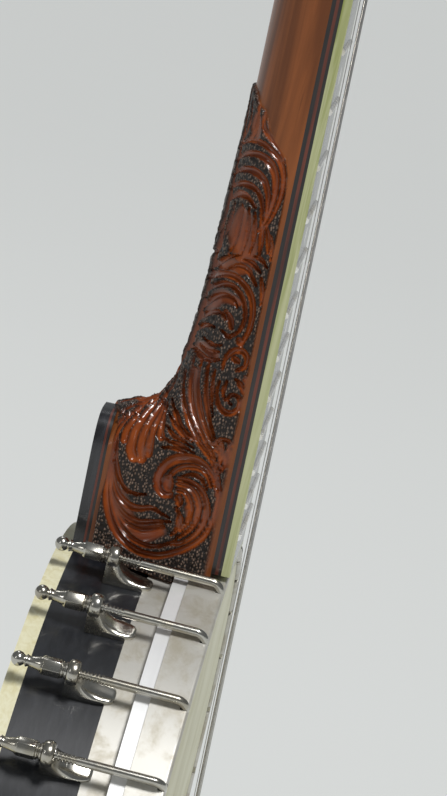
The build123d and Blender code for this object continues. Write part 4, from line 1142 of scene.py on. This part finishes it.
def build_shoes():
    """Cast shoes: a rounded collar on a body that sweeps forward to a tongue lying on the rim."""
    deselect()
    bpy.ops.mesh.primitive_circle_add(
        vertices=32, radius=SHOE_HALF * MM, fill_type="NGON", location=(0, 0, 0))
    body = bpy.context.object
    half, length = SHOE_HALF * MM, SHOE_LEVELS[0][2]
    for vertex in body.data.vertices:
        side, front = vertex.co.x / half, vertex.co.y / half
        if front < -0.01:
            square = (abs(side) ** SHOE_SQUARENESS + abs(front) ** SHOE_SQUARENESS) ** (-1 / SHOE_SQUARENESS)
            vertex.co.x, vertex.co.y = side * square * SHOE_HALF * MM, front * square * length * MM
        else:
            vertex.co.y = 0
    settle(body, Matrix.Translation((0, SHOE_BACK * MM, SHOE_FOOT * MM)))
    open_mesh()
    for (low, wide, long), (high, next_wide, next_long) in zip(SHOE_LEVELS, SHOE_LEVELS[1:]):
        draw_up((high - low) * MM)
        bpy.ops.transform.resize(
            value=(next_wide / wide, next_long / long, 1), center_override=(0, SHOE_BACK * MM, high * MM))
    close_mesh()
    collar = turned(COLLAR_RINGS, 36)
    settle(collar, Matrix.Translation((0, SHOE_FRONT_OF_COLLAR * MM, 0)) @ LAID_BACK)
    smooth(body, 42)
    smooth(collar, 60)
    return repeat_round_pot(joined([body, collar], "shoe_model"), "bracket_feet")


def build_nuts():
    """Ball-ended nuts: two collars, a hexagon, a waist and a ball."""
    body = turned(NUT_RINGS, 28)
    hexagon = turned(HEXAGON_RINGS, 6)
    only(hexagon)
    bevel = hexagon.modifiers.new("edges", "BEVEL")
    bevel.width = 0.12 * MM
    bevel.segments = 2
    bevel.limit_method = "ANGLE"
    bpy.ops.object.modifier_apply(modifier="edges")
    smooth(body, 50)
    smooth(hexagon, 30)
    piece = joined([body, hexagon], "nut_model")
    settle(piece, Matrix.Translation((0, SHOE_BACK * MM, 0)) @ LAID_BACK)
    return repeat_round_pot(piece, "ball_nuts")


# ======================================================================
# String windings on the tuner posts
# ======================================================================
WINDING_TURNS = 5


def build_winding(post, gauge, groove, from_end, tilt):
    """Close turns of a string in the groove of one post, whose front end is tilted up the neck."""
    low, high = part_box(post)
    front = Vector((0, -math.cos(tilt), math.sin(tilt)))
    radius = (high.x - low.x) / 2
    end = Vector(((low.x + high.x) / 2, low.y + radius * math.sin(tilt), high.z - radius * math.cos(tilt)))
    rings = []
    for turn in range(WINDING_TURNS):
        offset = (turn - (WINDING_TURNS - 1) / 2) * 2 * gauge
        deselect()
        bpy.ops.mesh.primitive_torus_add(
            major_segments=40, minor_segments=8, major_radius=(groove + gauge + abs(offset) * 0.25) * MM,
            minor_radius=gauge * MM)
        ring = bpy.context.object
        matrix = front.to_track_quat("Z", "Y").to_matrix().to_4x4()
        matrix.translation = end - front * (from_end + offset) * MM
        rings.append(settle(ring, matrix))
    piece = joined(rings, post.replace("_post", "_winding"))
    smooth(piece, 60)
    return piece


# ======================================================================
# The studio
# ======================================================================
FLOOR_SIZE = 90
CAMERA_PLACE = (-0.9787, -0.0347, 0.5760)
CAMERA_RIGHT = Vector((0.1027, -0.9676, 0.2305))
CAMERA_UP = Vector((0.2009, 0.2471, 0.9479))
CAMERA_BACK = Vector((-0.9742, -0.0510, 0.2198))
CAMERA_LENS = 129.5


def soft_box(name, place, target, size, power):
    """A rectangular lamp turned towards a target."""
    deselect()
    bpy.ops.object.light_add(type="AREA", location=place)
    lamp = bpy.context.object
    lamp.name = name
    lamp.data.shape = "RECTANGLE"
    lamp.data.size, lamp.data.size_y = size
    lamp.data.energy = power
    lamp.rotation_euler = (Vector(target) - Vector(place)).to_track_quat("-Z", "Y").to_euler()


def build_stage():
    """Pale floor that fills the view, soft boxes and the camera."""
    settings = bpy.context.scene.banjo_studio
    deselect()
    bpy.ops.mesh.primitive_plane_add(size=1, location=(0, 0, 0))
    floor = bpy.context.object
    floor.name = "studio_floor"
    floor.scale = (FLOOR_SIZE, FLOOR_SIZE, 1)
    bpy.ops.object.transform_apply(scale=True)
    finish = Finish("studio_paper", roughness=0.9)
    fleck = finish.noise(finish.place(), 3.0, 3.0)
    pale = tuple(settings.floor_colour)
    colour = finish.mix(fleck * 0.15, pale, shaded(pale, 0.93))
    floor.data.materials.append(finish.finish(base_color=colour))

    soft_box("key_box", (-1.1, -0.5, 1.9), (0, 0, 0.35), (0.26, 0.22), settings.key_power)
    soft_box("fill_box", (-1.7, 1.5, 1.1), (0, 0, 0.4), (0.22, 0.6), settings.fill_power)
    soft_box("back_box", (1.2, 0.6, 1.8), (0, 0, 0.5), (0.4, 0.4), settings.fill_power)

    deselect()
    bpy.ops.object.light_add(
        type="SUN", location=(-1, -0.4, 3), rotation=(math.radians(12), math.radians(-24), 0))
    overhead = bpy.context.object
    overhead.name = "overhead_light"
    overhead.data.angle = math.radians(14)
    overhead.data.energy = settings.overhead

    world = bpy.data.worlds.new("studio_air")
    bpy.context.scene.world = world
    world.use_nodes = True
    air = world.node_tree.nodes["Background"].inputs
    air["Color"].default_value = (0.86, 0.90, 0.92, 1)
    air["Strength"].default_value = 0.18
    bpy.context.scene.view_settings.view_transform = "Standard"

    camera_data = bpy.data.cameras.new("studio_camera")
    camera = bpy.data.objects.new("studio_camera", camera_data)
    bpy.context.scene.collection.objects.link(camera)
    turn = Matrix((CAMERA_RIGHT, CAMERA_UP, CAMERA_BACK)).transposed().to_4x4()
    camera.matrix_world = Matrix.Translation(CAMERA_PLACE) @ turn
    camera_data.lens = CAMERA_LENS
    camera_data.sensor_width = 36
    camera_data.clip_start = 0.01
    bpy.context.scene.camera = camera


# ======================================================================
# Operators, one for each piece or group of like pieces
# ======================================================================
class BANJO_OT_stage(bpy.types.Operator):
    """Build the floor, the soft boxes and the camera"""

    bl_idname = "banjo.stage"
    bl_label = "Studio"

    def execute(self, context):
        build_stage()
        return {"FINISHED"}


class BANJO_OT_finishes(bpy.types.Operator):
    """Give every carried-over piece the finish of its material slot"""

    bl_idname = "banjo.finishes"
    bl_label = "Finishes"

    def execute(self, context):
        by_node = {}
        for material in frame["record"]["materials"]:
            for node in material.get("nodes", []):
                by_node[node] = material["slot"]
        for name, node in frame["nodes"].items():
            slots = {m.name.split(".")[0] for m in node.data.materials if m}
            slot = by_node.get(name) or next((s for s in slots if s in FINISHES), None)
            if slot is None:
                raise RuntimeError(f"{name} has no finish among {sorted(slots)}")
            finish = finish_named(OWN_FINISHES.get(name, slot))
            for index in range(len(node.data.materials)):
                node.data.materials[index] = finish
        return {"FINISHED"}


class BANJO_OT_carved_heel(bpy.types.Operator):
    """Build the heel and lower neck with the scroll carved on both sides"""

    bl_idname = "banjo.carved_heel"
    bl_label = "Carved heel"

    def execute(self, context):
        settings = context.scene.banjo_neck
        piece = build_carved_heel()
        smooth(piece, 55)
        finish = mahogany("carved_mahogany", tuple(settings.wood), (*settings.antique,))
        dress(piece, "banjo", "neck_mahogany", "neck", finish=finish)
        return {"FINISHED"}


class BANJO_OT_neck_shaft(bpy.types.Operator):
    """Build the plain shaft and the peghead's core"""

    bl_idname = "banjo.neck_shaft"
    bl_label = "Neck shaft and peghead core"

    def execute(self, context):
        for piece in (build_neck_shaft(), build_peghead()):
            smooth(piece, 35)
            dress(piece, "banjo", "neck_mahogany", "neck")
        return {"FINISHED"}


class BANJO_OT_hooks(bpy.types.Operator):
    """Build the threaded bracket hooks"""

    bl_idname = "banjo.hooks"
    bl_label = "Bracket hooks"

    def execute(self, context):
        dress(build_hooks(), "banjo", "nickel_plate", "bracket_hooks")
        return {"FINISHED"}


class BANJO_OT_shoes(bpy.types.Operator):
    """Build the bracket shoes"""

    bl_idname = "banjo.shoes"
    bl_label = "Bracket shoes"

    def execute(self, context):
        dress(build_shoes(), "banjo", "nickel_plate", "bracket_shoes")
        return {"FINISHED"}


class BANJO_OT_nuts(bpy.types.Operator):
    """Build the ball-ended bracket nuts"""

    bl_idname = "banjo.nuts"
    bl_label = "Bracket nuts"

    def execute(self, context):
        dress(build_nuts(), "banjo", "nickel_plate", "bracket_nuts")
        return {"FINISHED"}


class BANJO_OT_windings(bpy.types.Operator):
    """Wind each string round its post"""

    bl_idname = "banjo.windings"
    bl_label = "String windings"

    def execute(self, context):
        for number, gauge in ((4, 0.30), (3, 0.20), (2, 0.17), (1, 0.15)):
            piece = build_winding(f"tuner_{number}_post", gauge, 2.3, 5.0, PEGHEAD_ANGLE)
            dress(piece, f"capstan_{number}", "string_steel")
        piece = build_winding("fifth_post", 0.16, 1.9, 4.0, NECK_ANGLE)
        dress(piece, "drone_capstan", "string_steel")
        return {"FINISHED"}


class BANJO_PT_panel(bpy.types.Panel):
    """The banjo's pieces in the sidebar"""

    bl_idname = "BANJO_PT_panel"
    bl_label = "Banjo"
    bl_space_type = "VIEW_3D"
    bl_region_type = "UI"
    bl_category = "Banjo"

    def draw(self, context):
        for operator in STEPS:
            self.layout.operator(operator.bl_idname)


STEPS = (
    BANJO_OT_stage,
    BANJO_OT_finishes,
    BANJO_OT_carved_heel,
    BANJO_OT_neck_shaft,
    BANJO_OT_hooks,
    BANJO_OT_shoes,
    BANJO_OT_nuts,
    BANJO_OT_windings,
)
SETTINGS = {"banjo_studio": StudioSettings, "banjo_neck": NeckSettings, "banjo_hardware": HardwareSettings}


def register():
    for group in SETTINGS.values():
        bpy.utils.register_class(group)
    for key, group in SETTINGS.items():
        setattr(bpy.types.Scene, key, PointerProperty(type=group))
    for operator in STEPS:
        bpy.utils.register_class(operator)
    bpy.utils.register_class(BANJO_PT_panel)


def unregister():
    bpy.utils.unregister_class(BANJO_PT_panel)
    for operator in reversed(STEPS):
        bpy.utils.unregister_class(operator)
    for key in SETTINGS:
        delattr(bpy.types.Scene, key)
    for group in reversed(list(SETTINGS.values())):
        bpy.utils.unregister_class(group)


def main():
    """Build everything."""
    register()
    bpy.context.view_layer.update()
    for operator in STEPS:
        group, name = operator.bl_idname.split(".")
        getattr(getattr(bpy.ops, group), name)()


if __name__ == "__main__":
    main()
